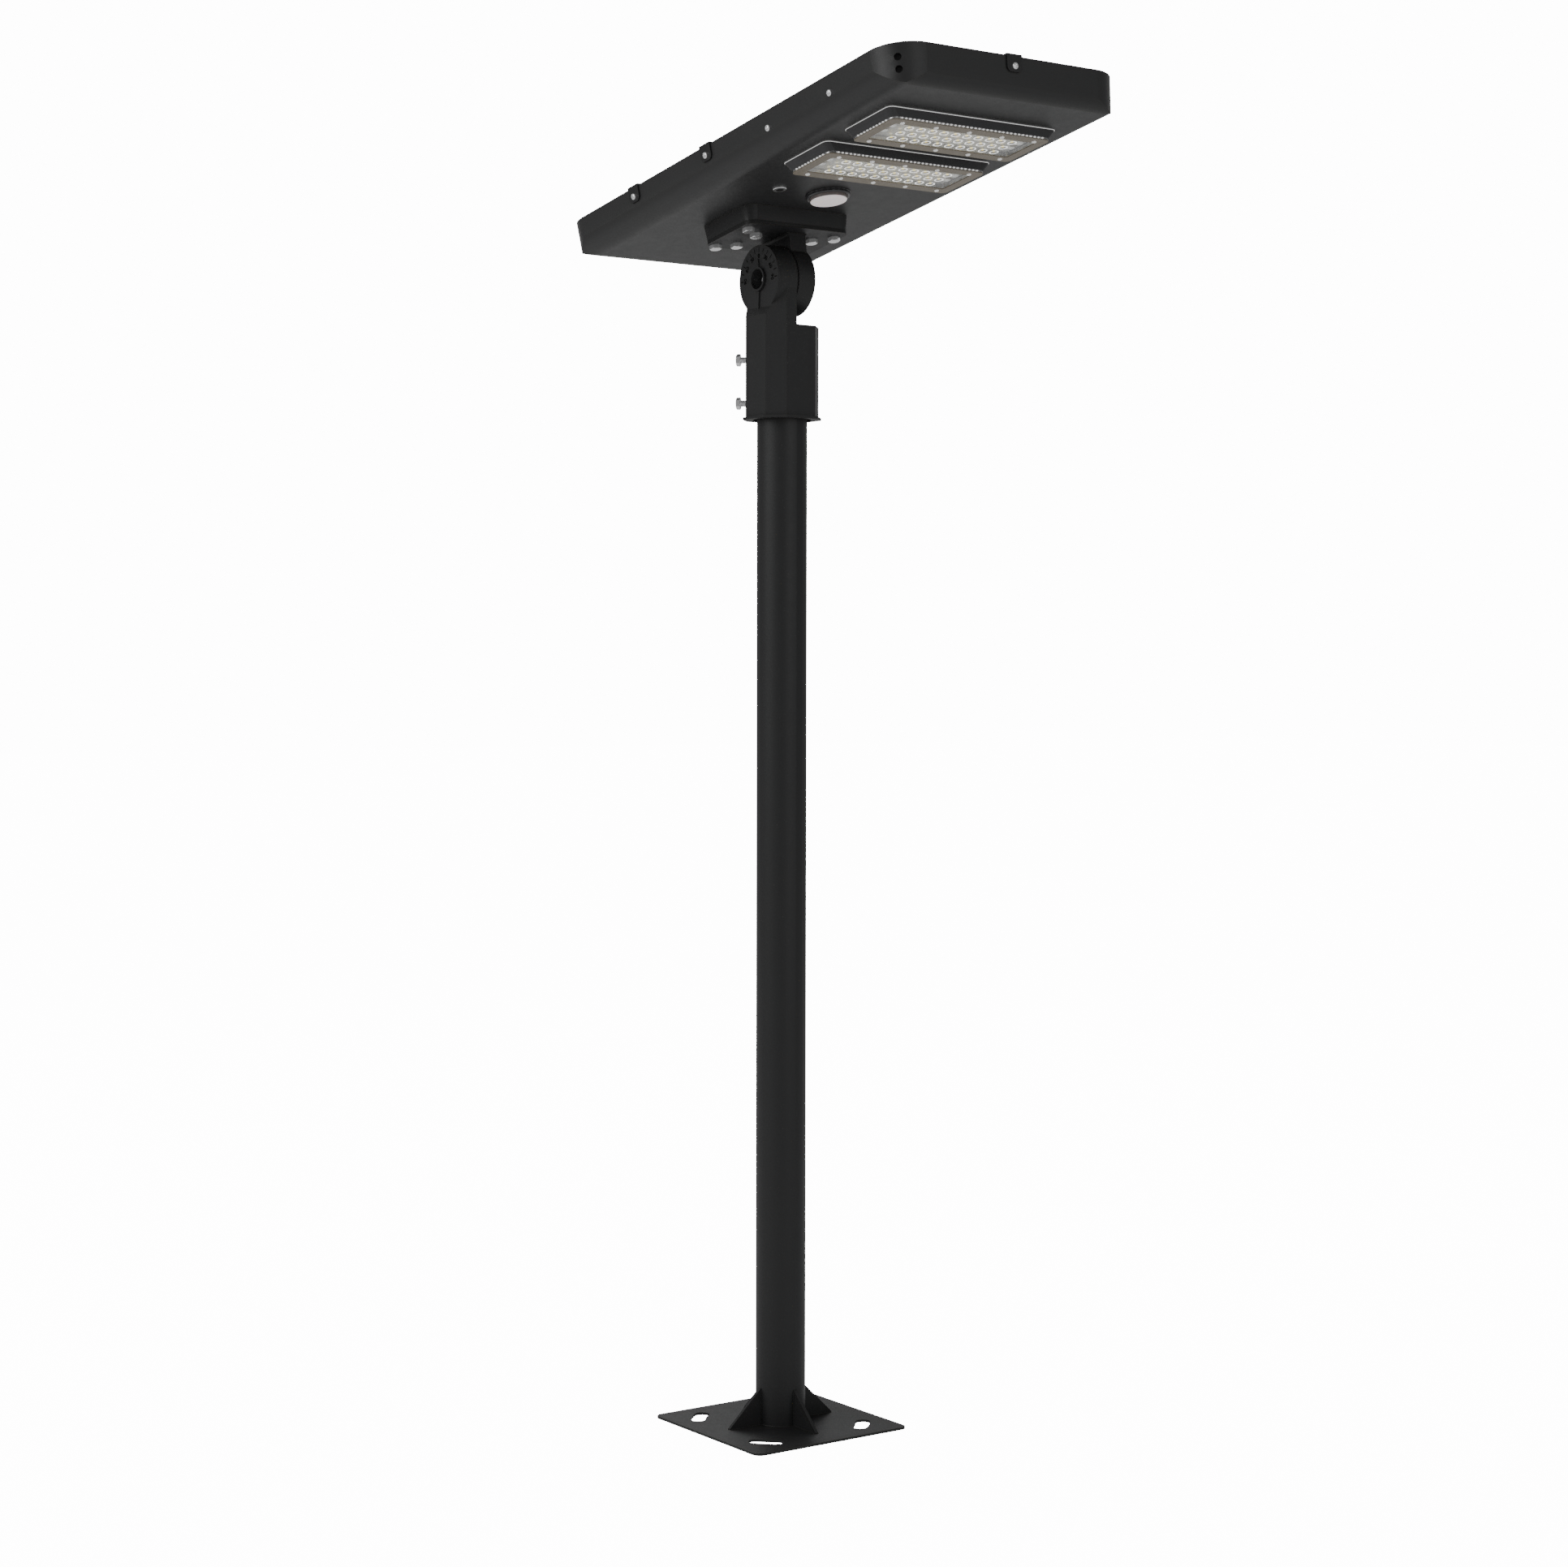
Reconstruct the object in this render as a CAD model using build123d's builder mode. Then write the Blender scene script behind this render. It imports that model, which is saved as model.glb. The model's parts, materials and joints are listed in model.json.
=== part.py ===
from build123d import *
import os
from math import cos, degrees, radians, sin, sqrt, tan

# All-in-one solar street lamp on a demonstration pole.
# Origin: centre of the base plate's underside. +Z up, +X the way the nose points.
# Millimetres and degrees throughout.

# ---- clearances ----
seat = 0.1          # face gap between two clamped pieces
hole_clear = 0.15   # radial gap of a screw in its hole
run_clear = 0.08    # radial gap of a turning or sliding fit
tooth_gap = 0.3     # gap between the two index crowns when the pivot is slack

# ---- pole and base ----
pole_od = 60.0
pole_wall = 3.0
pole_top = 1300.0
base_side = 220.0
base_t = 3.0
base_corner = 10.0
slot_ring_r = 99.5
slot_w = 17.5
slot_span = 24.4       # end to end, seen from the pole axis
gusset_l = 45.0        # foot of a gusset, from the pole's wall
gusset_top = 46.0
gusset_t = 4.0
gusset_toe = 0.8       # flat left at a gusset's two tips

# ---- slip fitter ----
socket_wall = 8.5      # at the flats
socket_chamfer = 17.7
socket_grip = 95.0     # length of pole inside the socket
socket_cap = 15.0      # solid metal above the pole
socket_lip = 3.2
socket_lip_t = 3.0
mouth_relief = 5.0     # radial
mouth_depth = 10.0
neck_y = -6.2          # back face of the neck
neck_fillet = 1.5
set_screw_drop = (74.4, 23.0)  # below the top of the pole
set_screw_d = 8.0
set_screw_out = 13.4   # head top above the facet
hex_af = 13.0          # M8 hexagon
hex_h = 5.3

# ---- tilt pivot ----
axis_rise = 69.5       # tilt axis above the top of the pole
knuckle_r = 40.5
knuckle_y = -34.0      # outer face of the fixed knuckle
knuckle_foot = 7.0     # start of the ramp below the knuckle, above its lowest point
crown_y = -5.0         # middle of the crown joint
tooth_h = 1.0
tooth_count = 60
tooth_w = 4.0
crown_bore_r = 24.0
arm_face_y = 19.5      # nut side of the moving knuckle
pivot_d = 12.0
pivot_head_d = 18.0
pivot_head_h = 12.0
pivot_recess_d = 24.0
pivot_seat_y = -14.0
pivot_washer_d = 24.0
pivot_washer_t = 2.5
pivot_nut_af = 18.0
pivot_nut_h = 10.8
boss_ring_d = 29.0
boss_ring_h = 3.0
rib_w = 7.0
rib_h = 1.6
rib_tip = 24.5
tick_count = 13
tick_r = (31.5, 37.0)
tick_w = 1.0
tick_depth = 0.5

# ---- head, measured from the tilt axis: x to the nose, z square to the underside ----
rest_tilt = 9.82       # nose-up angle at rest
head_drop = 73.7       # tilt axis below the underside
head_rear = -218.3
head_front = 452.2
head_half_w = 161.2
head_h = 43.4          # underside to rim
draft = 5.0
plan_corner = 43.0
rear_round = 42.0
nose_round = 13.0
side_round = 23.0
wall = 3.0
ledge_drop = 7.4       # rim to the ledge
ledge_w = 9.0
ledge_t = 3.0

# ---- mounting plinth and arm ----
plinth_l = 97.0
plinth_w = 146.0
plinth_x = -1.7
plinth_corner = 12.0
plinth_h = 17.5
plinth_draft = 8.0
plinth_floor = 3.5
plinth_wall = 2.5
flange_t = 4.5
arm_l = 56.0
bolt_d = 8.0
outer_bolts = (35.0, 62.0)     # half spacing along and across
outer_bolt_x = -7.2
inner_bolts = (20.5, 40.5)
inner_bolt_x = -8.7
backing_t = 6.0
bolt_tail = 1.5

# ---- solar panel ----
rim_gap = 0.6
gasket_t = 1.5
backsheet_t = 0.5
cell_t = 0.3
glass_t = 4.0
cell_rows = 4
cell_cols = 8
cell_gap = 3.0
cell_margin = 14.0
cell_corner = 5.0
junction = (58.0, 50.0, 12.0)
junction_at = (105.0, 0.0)

# ---- panel clips ----
clip_t = 1.6
clip_w = 21.0
clip_drop = 17.9
clip_round = 6.0
clip_pad_w = 48.0
clip_pad_in = 7.0
clip_pad_l = 12.0
clip_side_x = (-56.5, 97.0)
clip_screw_drop = 11.4
pan_d = 7.5
pan_h = 2.6
pan_shank = 4.0
pan_reach = 9.0
side_screw_x = (217.0, 333.0)
side_screw_z = 24.0
side_boss_d = 11.0
corner_hole_d = 8.0
corner_hole_z = (28.0, 15.0)
corner_hole_depth = 7.0

# ---- light modules ----
module_x = 337.3
module_pitch = 115.8
bezel_run = (3.8, 7.0) # bezel's root outside the body, along and across
bezel_low = 9.5
bezel_lip = 1.0        # wall left at the bezel's lower edge
bezel_corner = 7.0
gasket_in = 0.5
led_gasket_t = 1.0
body_l = 75.5
body_w = 220.0
body_corner = 7.0
body_low = 11.3
frame_t = 1.2
rail_w = (11.75, 11.0) # body's rim round the pocket, along and across
pocket_top = 5.0
notch_pitch = 4.0
notch_w = 2.2
notch_depth = 1.0
tongue_in = (14.25, 12.0)
tongue_h = 10.0
fin_gap = 3.0
fin_pitch = 7.0
board_t = 1.6
chip_d = 3.5
chip_t = 0.8
led_rows = 3
led_cols = 10
led_pitch = (16.0, 16.0)
lens_t = 1.5
lens_z = 10.6
lens_d = 12.0
lens_h = 1.8
terminal = (22.0, 9.0, 2.0)
terminal_in = 10.0     # from the end of the pocket
led_screw_d = 3.0
led_screw_head_d = 5.6
led_screw_head_h = 1.8
led_screw_in = 7.75    # from the body's edge
led_screw_y = 46.0
led_screw_reach = 7.0

# ---- sensor and switch ----
sensor_x = 105.8
sensor_ring_w = 4.0
sensor_ring_h = 4.5
sensor_lens_d = 45.0
sensor_lens_low = 8.6
sensor_neck_d = 29.6
sensor_board_d = 36.0
sensor_block = 16.0
sensor_block_h = 7.0
switch_y = -69.0
switch_ring_d = 16.0
switch_ring_h = 1.6
switch_barrel_d = 12.0
switch_bore_d = 9.6
switch_floor = 2.0
switch_spare = 1.5     # room above the pressed button
button_travel = 2.0
button_proud = 0.6
button_l = 8.0
switch_nut_af = 16.0
switch_nut_h = 3.0

# ---- battery and electronics ----
cell_d = 26.2
cell_l = 65.5
battery_cols = 4
battery_rows = 3
battery_gap = 0.8
battery_front = -51.5
tray_t = 1.6
tray_gap = 0.5
tray_h = 14.0
strap_w = 14.0
strap_t = 0.8
bms_size = (60.0, 24.0)
bms_in = 43.2          # from the side of the head
bms_block_h = 8.0
controller = (90.0, 56.0, 22.0)
controller_x = 6.0
controller_in = 53.2   # from the side of the head
controller_flange = 6.0
controller_flange_t = 2.5
lead_d = 3.6
lead_z = 9.0
lead_in = 77.2         # from the side of the head
sensor_lead_in = 20.0   # from the controller's middle
lead_bend = 8.0


# ---- sizes worked out from the pole, the head and the modules ----
socket_af = pole_od + 2 * socket_wall
socket_low = pole_top - socket_grip
socket_high = pole_top + socket_cap
axis_z = pole_top + axis_rise
ledge_z = head_h - ledge_drop
bezel_l = body_l + 2 * bezel_run[0]
bezel_w = body_w + 2 * bezel_run[1]
pocket_l = body_l - 2 * rail_w[0]
pocket_w = body_w - 2 * rail_w[1]
tongue_l = body_l - 2 * tongue_in[0]
tongue_w = body_w - 2 * tongue_in[1]
led_screw_x = body_l / 2 - led_screw_in
sensor_ring_d = sensor_lens_d + 2 * sensor_ring_w
controller_at = (controller_x, head_half_w - controller_in)
bms_y = head_half_w - bms_in
lead_y = head_half_w - lead_in

# ---- frames of the head ----
tilt = radians(rest_tilt)
head_x = Vector(cos(tilt), 0, sin(tilt))
head_z = Vector(-sin(tilt), 0, cos(tilt))
underside = Vector(0, 0, axis_z) + head_z * head_drop
HEAD = Plane(origin=underside, x_dir=head_x, z_dir=head_z)
HEAD_SIDE = Plane(origin=underside, x_dir=head_x, z_dir=(0, -1, 0))
HEAD_FRONT = Plane(origin=underside, x_dir=(0, 1, 0), z_dir=head_x)
ARM = Plane(origin=(0, 0, axis_z), x_dir=head_x, z_dir=(0, -1, 0))
PIVOT = Plane(origin=(0, 0, axis_z), x_dir=(1, 0, 0), z_dir=(0, -1, 0))
far = 2 * (head_front - head_rear)


def level(h):
    """Plane of the head at height h, facing up."""
    return HEAD.offset(h)


def under(h):
    """Plane of the head at height h, facing down; its y runs to -Y."""
    return Plane(origin=level(h).origin, x_dir=head_x, z_dir=-head_z)


def rim_plane(x, y, turn):
    """Plane on the rim edge: x along the wall, y inwards, z up."""
    return Plane(HEAD.location * Location((x, y, head_h), (0, 0, turn)))


def wall_plane(x, y, turn):
    """Plane of the drafted wall below a rim point, facing out; its y runs up."""
    rim = HEAD.location * Location((x, y, head_h), (0, 0, turn))
    return Plane(rim * Location((0, 0, 0), (90 + draft, 0, 0)))


def write(piece, name):
    piece.part.label = name
    export_step(piece.part, f"parts/{name}.step")


def octagon_face(af, chamfer_l):
    """Square with its corners cut, drawn in the current sketch."""
    Rectangle(af, af)
    chamfer(vertices(), chamfer_l)


def screws(places, shank_d, shank_l, head_d, head_h, hexagon=False):
    """Screws with the seat of the head on each plane, heads along its +Z."""
    with BuildPart() as group:
        for place in places:
            with BuildSketch(place.offset(seat)):
                if hexagon:
                    RegularPolygon(head_d / 2, 6, major_radius=False)
                else:
                    Circle(head_d / 2)
            head = extrude(amount=head_h)
            rim = head.edges().group_by(Axis(place.origin, place.z_dir))[-1]
            fillet(rim, head_h * (0.12 if hexagon else 0.45))
            with BuildSketch(place.offset(seat)):
                Circle(shank_d / 2)
            extrude(amount=-shank_l)
    return group


os.makedirs("parts", exist_ok=True)

# ================= pole and base =================
slot_end = degrees(slot_w / 2 / slot_ring_r)
slot_arc = slot_span - 2 * slot_end
with BuildPart() as base_plate:
    with BuildSketch():
        RectangleRounded(base_side, base_side, base_corner)
        for corner in range(4):
            start = 45 + 90 * corner - slot_arc / 2
            SlotArc(
                CenterArc((0, 0), slot_ring_r, start, slot_arc, mode=Mode.PRIVATE),
                slot_w, mode=Mode.SUBTRACT,
            )
    extrude(amount=base_t)
    fillet(base_plate.edges().filter_by(GeomType.LINE).group_by(Axis.Z)[-1], base_t * 0.2)
write(base_plate, "base_plate")

with BuildPart() as pole_tube:
    with BuildSketch(Plane.XY.offset(base_t)):
        Circle(pole_od / 2)
        Circle(pole_od / 2 - pole_wall, mode=Mode.SUBTRACT)
    extrude(amount=pole_top - base_t)
write(pole_tube, "pole_tube")

gusset_tip = pole_od / 2 + gusset_l
with BuildPart() as base_gussets:
    for quarter in range(4):
        web = Plane.XZ.rotated((0, 0, 90 * quarter))
        with BuildSketch(web):
            with BuildLine():
                Polyline(
                    (pole_od / 2, base_t), (gusset_tip, base_t),
                    (gusset_tip, base_t + gusset_toe), (pole_od / 2 + gusset_toe, gusset_top),
                    (pole_od / 2, gusset_top), close=True,
                )
            make_face()
        extrude(amount=gusset_t / 2, both=True)
    with BuildSketch(Plane.XY.offset(base_t)):
        Circle(pole_od / 2)
    extrude(amount=gusset_top, mode=Mode.SUBTRACT)
write(base_gussets, "base_gussets")

# ================= slip fitter with the fixed knuckle =================
screw_dir = Vector(-1, -1, 0).normalized()
facet_r = (socket_af - socket_chamfer) / sqrt(2)
screw_planes = [
    Plane(origin=screw_dir * (facet_r + set_screw_out - hex_h - seat) + Vector(0, 0, z),
          x_dir=(0, 0, 1), z_dir=screw_dir)
    for z in (pole_top - drop for drop in set_screw_drop)
]
fixed_face = crown_y - tooth_gap / 2     # tips of the fixed crown
moving_face = crown_y + tooth_gap / 2    # tips of the moving crown


def crown(tip_y, root_y, turn=0.0):
    """Ring of radial index teeth, from their root plane to their tips, turned by part of a pitch."""
    sink = tooth_h * 0.3
    away = 1 if root_y > tip_y else -1
    with BuildPart() as tooth:
        with BuildSketch(Plane(origin=(crown_bore_r + 1, 0, axis_z), x_dir=(0, 1, 0), z_dir=(1, 0, 0))):
            with BuildLine():
                Polyline(
                    (root_y + away * sink, -tooth_w / 2), (root_y, -tooth_w / 2), (tip_y, 0),
                    (root_y, tooth_w / 2), (root_y + away * sink, tooth_w / 2), close=True,
                )
            make_face()
        extrude(amount=knuckle_r - crown_bore_r - 1.4)
    pivot_axis = Axis((0, 0, axis_z), (0, 1, 0))
    pitch = 360 / tooth_count
    return [tooth.part.rotate(pivot_axis, pitch * (i + turn)) for i in range(tooth_count)]


with BuildPart() as slip_fitter:
    # octagonal socket and neck, one bar cut to the casting's side view
    with BuildSketch(Plane.XY.offset(socket_low)):
        octagon_face(socket_af, socket_chamfer)
    extrude(amount=axis_z - socket_low)
    ramp = -socket_af / 2 - knuckle_y
    ramp_z = axis_z - knuckle_r + knuckle_foot
    with BuildSketch(Plane.YZ):
        with BuildLine():
            Polyline(
                (-socket_af, socket_low), (socket_af, socket_low), (socket_af, socket_high),
                (neck_y, socket_high), (neck_y, axis_z), (knuckle_y, axis_z),
                (knuckle_y, ramp_z), (-socket_af / 2, ramp_z + 2 * ramp),
                (-socket_af, ramp_z + 2 * ramp), close=True,
            )
        make_face()
        inner = vertices().sort_by(lambda v: abs(v.X - neck_y) + abs(v.Y - socket_high))[0]
        fillet(inner, neck_fillet)
    extrude(amount=socket_af, both=True, mode=Mode.INTERSECT)
    # knuckle disc
    with BuildSketch(PIVOT.offset(-fixed_face + tooth_h)):
        Circle(knuckle_r)
    extrude(amount=-knuckle_y + fixed_face - tooth_h)
    add(crown(fixed_face, fixed_face - tooth_h))
    # lip at the socket's mouth
    with BuildSketch(Plane.XY.offset(socket_low)):
        octagon_face(socket_af + 2 * socket_lip, socket_chamfer + 0.6 * socket_lip)
    extrude(amount=socket_lip_t)
    # ring and cross ribs on the outer face
    with BuildSketch(PIVOT.offset(-knuckle_y)):
        Circle(boss_ring_d / 2)
    extrude(amount=boss_ring_h)
    with BuildSketch(PIVOT.offset(-knuckle_y)):
        for turn in (0, 90, 180):
            with Locations(Rot(0, 0, turn)):
                Triangle(a=rib_w, b=rib_tip, c=rib_tip, align=(Align.CENTER, Align.MIN))
        with BuildLine():
            Polyline((-rib_w / 2, 0), (rib_w / 2, 0), (1, -knuckle_r + 1), (-1, -knuckle_r + 1), close=True)
        make_face()
    extrude(amount=rib_h)
    # bores: socket, mouth, pivot recess, pivot hole, set screws
    with BuildSketch(Plane.XY.offset(socket_low - 1)):
        Circle(pole_od / 2 + run_clear)
    extrude(amount=pole_top - socket_low + 1 + seat, mode=Mode.SUBTRACT)
    with BuildSketch(Plane.XY.offset(socket_low - 1)):
        Circle(pole_od / 2 + mouth_relief)
    extrude(amount=mouth_depth + 1, mode=Mode.SUBTRACT)
    with BuildSketch(PIVOT.offset(-pivot_seat_y)):
        Circle(pivot_recess_d / 2)
    extrude(amount=socket_af, mode=Mode.SUBTRACT)
    with BuildSketch(PIVOT):
        Circle(pivot_d / 2 + hole_clear)
    extrude(amount=socket_af, mode=Mode.SUBTRACT)
    with BuildSketch(PIVOT.offset(-fixed_face - tooth_h - 1)):
        Circle(crown_bore_r)
        Circle(pivot_d, mode=Mode.SUBTRACT)
    extrude(amount=2, mode=Mode.SUBTRACT)
    for place in screw_planes:
        with BuildSketch(place):
            Circle(set_screw_d / 2 + hole_clear)
        extrude(amount=-socket_af / 2, mode=Mode.SUBTRACT)
    # scale ticks, every 15 degrees over the upper half
    with BuildSketch(PIVOT.offset(-knuckle_y - tick_depth)):
        for i in range(tick_count):
            angle = 180 * i / (tick_count - 1)
            with Locations(Rot(0, 0, angle)):
                with Locations((sum(tick_r) / 2, 0)):
                    Rectangle(tick_r[1] - tick_r[0], tick_w)
    extrude(amount=tick_depth + 1, mode=Mode.SUBTRACT)
write(slip_fitter, "slip_fitter")

set_screw_l = facet_r + set_screw_out - hex_h - pole_od / 2 - seat
set_screws = screws(screw_planes, set_screw_d, set_screw_l, hex_af, hex_h, hexagon=True)
write(set_screws, "set_screws")

washer_y = arm_face_y + seat
nut_y = washer_y + pivot_washer_t + seat
bolt_seat = PIVOT.offset(-pivot_seat_y)
pivot_len = nut_y + pivot_nut_h + 2 - pivot_seat_y
plain_bolt = screws([bolt_seat], pivot_d, pivot_len, pivot_head_d, pivot_head_h)
with BuildPart() as pivot_bolt:
    add(plain_bolt.part)
    with BuildSketch(bolt_seat.offset(pivot_head_h * 0.5)):
        RegularPolygon(5, 6, major_radius=False)
    extrude(amount=pivot_head_h, mode=Mode.SUBTRACT)
write(pivot_bolt, "pivot_bolt")

with BuildPart() as pivot_washer:
    with BuildSketch(PIVOT.offset(-washer_y)):
        Circle(pivot_washer_d / 2)
        Circle(pivot_d / 2 + hole_clear, mode=Mode.SUBTRACT)
    extrude(amount=-pivot_washer_t)
write(pivot_washer, "pivot_washer")

with BuildPart() as pivot_nut:
    with BuildSketch(PIVOT.offset(-nut_y)):
        RegularPolygon(pivot_nut_af / 2, 6, major_radius=False)
        Circle(pivot_d / 2 + hole_clear, mode=Mode.SUBTRACT)
    extrude(amount=-pivot_nut_h)
write(pivot_nut, "pivot_nut")

# ================= tilting arm and its fixings =================
flange_low = -plinth_h - seat - flange_t
bolt_xy = [
    (mid + i * half[0], j * half[1])
    for mid, half in ((outer_bolt_x, outer_bolts), (inner_bolt_x, inner_bolts))
    for i in (-1, 1)
    for j in (-1, 1)
]
with BuildPart() as tilt_arm:
    with BuildSketch(PIVOT.offset(-arm_face_y)):
        Circle(knuckle_r)
    extrude(amount=arm_face_y - moving_face - tooth_h)
    with BuildSketch(ARM.offset(-arm_face_y)):
        with Locations((0, head_drop + flange_low)):
            Rectangle(arm_l, head_drop + flange_low, align=(Align.CENTER, Align.MAX))
    extrude(amount=arm_face_y - moving_face - tooth_h)
    with BuildSketch(level(flange_low)):
        with Locations((plinth_x, 0)):
            RectangleRounded(plinth_l, plinth_w, plinth_corner)
    extrude(amount=flange_t)
    fillet(edges().filter_by(Axis(HEAD.origin, head_x)).filter_by(
        lambda e: abs(e.length - arm_l) < 0.01).group_by(Axis(HEAD.origin, head_z))[-1], 4)
    add(crown(moving_face, moving_face + tooth_h, 0.5))
    with BuildSketch(PIVOT.offset(-moving_face - tooth_h + 1)):
        Circle(crown_bore_r)
        Circle(pivot_d, mode=Mode.SUBTRACT)
    extrude(amount=-2, mode=Mode.SUBTRACT)
    with BuildSketch(PIVOT.offset(-arm_face_y - 1)):
        Circle(pivot_d / 2 + run_clear)
    extrude(amount=arm_face_y + 10, mode=Mode.SUBTRACT)
    with BuildSketch(level(flange_low - 1)):
        with Locations(bolt_xy):
            Circle(bolt_d / 2 + hole_clear)
    extrude(amount=flange_t + 2, mode=Mode.SUBTRACT)
write(tilt_arm, "tilt_arm")

backing_z = -plinth_h + plinth_floor + seat
bolt_seats = [
    Plane(origin=level(flange_low).from_local_coords((x, y, 0)), x_dir=head_x, z_dir=-head_z)
    for x, y in bolt_xy
]
bolt_l = backing_z + backing_t + bolt_tail - flange_low
flange_bolts = screws(bolt_seats, bolt_d, bolt_l, hex_af, hex_h, hexagon=True)
write(flange_bolts, "flange_bolts")

with BuildPart() as backing_plate:
    with BuildSketch(level(backing_z)):
        with Locations((plinth_x, 0)):
            inset = 2 * (plinth_wall + seat)
            RectangleRounded(plinth_l - inset, plinth_w - inset, plinth_corner - inset / 2)
        with Locations(bolt_xy):
            Circle(bolt_d / 2 + hole_clear, mode=Mode.SUBTRACT)
    extrude(amount=backing_t)
write(backing_plate, "backing_plate")

# ================= lower housing =================
head_mid = (head_front + head_rear) / 2
head_l = head_front - head_rear
module_xs = (module_x, module_x - module_pitch)
led_screw_xy = [(i * led_screw_x, j * led_screw_y) for i in (-1, 1) for j in range(-2, 3)]
clip_seats = [(x, -head_half_w, 0) for x in clip_side_x]
clip_seats += [(x, head_half_w, 180) for x in clip_side_x]
clip_seats += [(head_front, 0, 90), (head_rear, 0, -90)]
side_seats = [(x, side * head_half_w, turn) for x in side_screw_x for side, turn in ((-1, 0), (1, 180))]
corner_mid = (head_front - plan_corner, head_half_w - plan_corner)
corner_out = plan_corner / sqrt(2)
corner_seats = [
    (corner_mid[0] + corner_out, side * (corner_mid[1] + corner_out), turn)
    for side, turn in ((-1, 45), (1, 135))
]


def shell_body(inset):
    """The head's outer form moved in by inset on its walls and floor."""
    lean = (head_h - inset) * tan(radians(draft))
    rear = head_rear + inset
    front = head_front - inset
    half = head_half_w - inset
    with BuildPart() as body:
        with BuildSketch(HEAD_SIDE):
            with BuildLine():
                Polyline(
                    (rear, head_h), (rear + lean, inset), (front - lean, inset), (front, head_h),
                    close=True,
                )
            make_face()
            fillet(vertices().group_by(Axis.Y)[0].sort_by(Axis.X)[0], rear_round - inset)
            fillet(vertices().group_by(Axis.Y)[0].sort_by(Axis.X)[-1], nose_round - inset)
        extrude(amount=half, both=True)
        with BuildSketch(HEAD_FRONT):
            with BuildLine():
                Polyline(
                    (-half, head_h), (-half + lean, inset), (half - lean, inset), (half, head_h),
                    close=True,
                )
            make_face()
            fillet(vertices().group_by(Axis.Y)[0], side_round - inset)
        extrude(amount=far, both=True, mode=Mode.INTERSECT)
        with BuildSketch(under(head_h)):
            with Locations((head_mid, 0)):
                RectangleRounded(head_l - 2 * inset, 2 * half, plan_corner - inset)
        extrude(amount=head_h, taper=draft, mode=Mode.INTERSECT)
    return body.part


outer_form = shell_body(0)
inner_form = shell_body(wall)
with BuildPart() as lower_housing:
    add(outer_form)
    add(inner_form, mode=Mode.SUBTRACT)
    # ledge that carries the panel
    with BuildSketch(level(ledge_z - ledge_t)):
        with Locations((head_mid, 0)):
            RectangleRounded(head_l - 2 * wall, 2 * (head_half_w - wall), plan_corner - wall)
            inner_corner = plan_corner - wall - ledge_w
            RectangleRounded(head_l - 2 * wall - 2 * ledge_w, 2 * (head_half_w - wall - ledge_w),
                             inner_corner, mode=Mode.SUBTRACT)
    extrude(amount=ledge_t)
    # plinth for the arm, hollow from inside
    with BuildSketch(under(wall / 2)):
        with Locations((plinth_x, 0)):
            spread = 2 * (plinth_h + wall / 2) * tan(radians(plinth_draft))
            RectangleRounded(plinth_l + spread, plinth_w + spread, plinth_corner + spread / 2)
    extrude(amount=plinth_h + wall / 2, taper=plinth_draft)
    with BuildSketch(level(-plinth_h + plinth_floor)):
        with Locations((plinth_x, 0)):
            RectangleRounded(plinth_l - 2 * plinth_wall, plinth_w - 2 * plinth_wall,
                             plinth_corner - plinth_wall)
    extrude(amount=plinth_h, mode=Mode.SUBTRACT)
    with BuildSketch(level(-plinth_h - 1)):
        with Locations(bolt_xy):
            Circle(bolt_d / 2 + hole_clear)
    extrude(amount=plinth_floor + 2, mode=Mode.SUBTRACT)
    # windows and screw holes of the light modules
    for x in module_xs:
        with BuildSketch(level(-1)):
            with Locations((x, 0)):
                RectangleRounded(tongue_l + 2, tongue_w + 2, 4)
            with Locations([(x + i, j) for i, j in led_screw_xy]):
                Circle(led_screw_d / 2 + hole_clear)
        extrude(amount=wall + 2, mode=Mode.SUBTRACT)
    # holes for the sensor's neck and the switch barrel
    with BuildSketch(level(-1)):
        with Locations((sensor_x, 0)):
            Circle(sensor_neck_d / 2 + hole_clear)
        with Locations((sensor_x, switch_y)):
            Circle(switch_barrel_d / 2 + hole_clear)
    extrude(amount=wall + 2, mode=Mode.SUBTRACT)
    # screw bosses behind the side walls, then their holes
    for x, y, turn in side_seats:
        down = (head_h - side_screw_z) / cos(radians(draft))
        with BuildSketch(wall_plane(x, y, turn).offset(-wall / 2)):
            with Locations((0, -down)):
                Circle(side_boss_d / 2)
        extrude(amount=-pan_reach)
        with BuildSketch(wall_plane(x, y, turn).offset(1)):
            with Locations((0, -down)):
                Circle(pan_shank / 2 + hole_clear)
        extrude(amount=-pan_reach - 1, mode=Mode.SUBTRACT)
    for x, y, turn in clip_seats:
        with BuildSketch(wall_plane(x, y, turn).offset(1)):
            with Locations((0, -clip_screw_drop)):
                Circle(pan_shank / 2 + hole_clear)
        extrude(amount=-pan_reach - 2, mode=Mode.SUBTRACT)
    for x, y, turn in corner_seats:
        for z in corner_hole_z:
            with BuildSketch(wall_plane(x, y, turn).offset(-wall / 2)):
                with Locations((0, z - head_h)):
                    Circle(corner_hole_d / 2 + wall)
            extrude(amount=-corner_hole_depth - wall)
        for z in corner_hole_z:
            with BuildSketch(wall_plane(x, y, turn).offset(wall)):
                with Locations((0, z - head_h)):
                    Circle(corner_hole_d / 2)
            extrude(amount=-corner_hole_depth - wall, mode=Mode.SUBTRACT)
write(lower_housing, "lower_housing")

# ================= solar panel =================
panel_in = wall + rim_gap
panel_l = head_l - 2 * panel_in
panel_w = 2 * (head_half_w - panel_in)
panel_corner = plan_corner - panel_in
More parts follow.
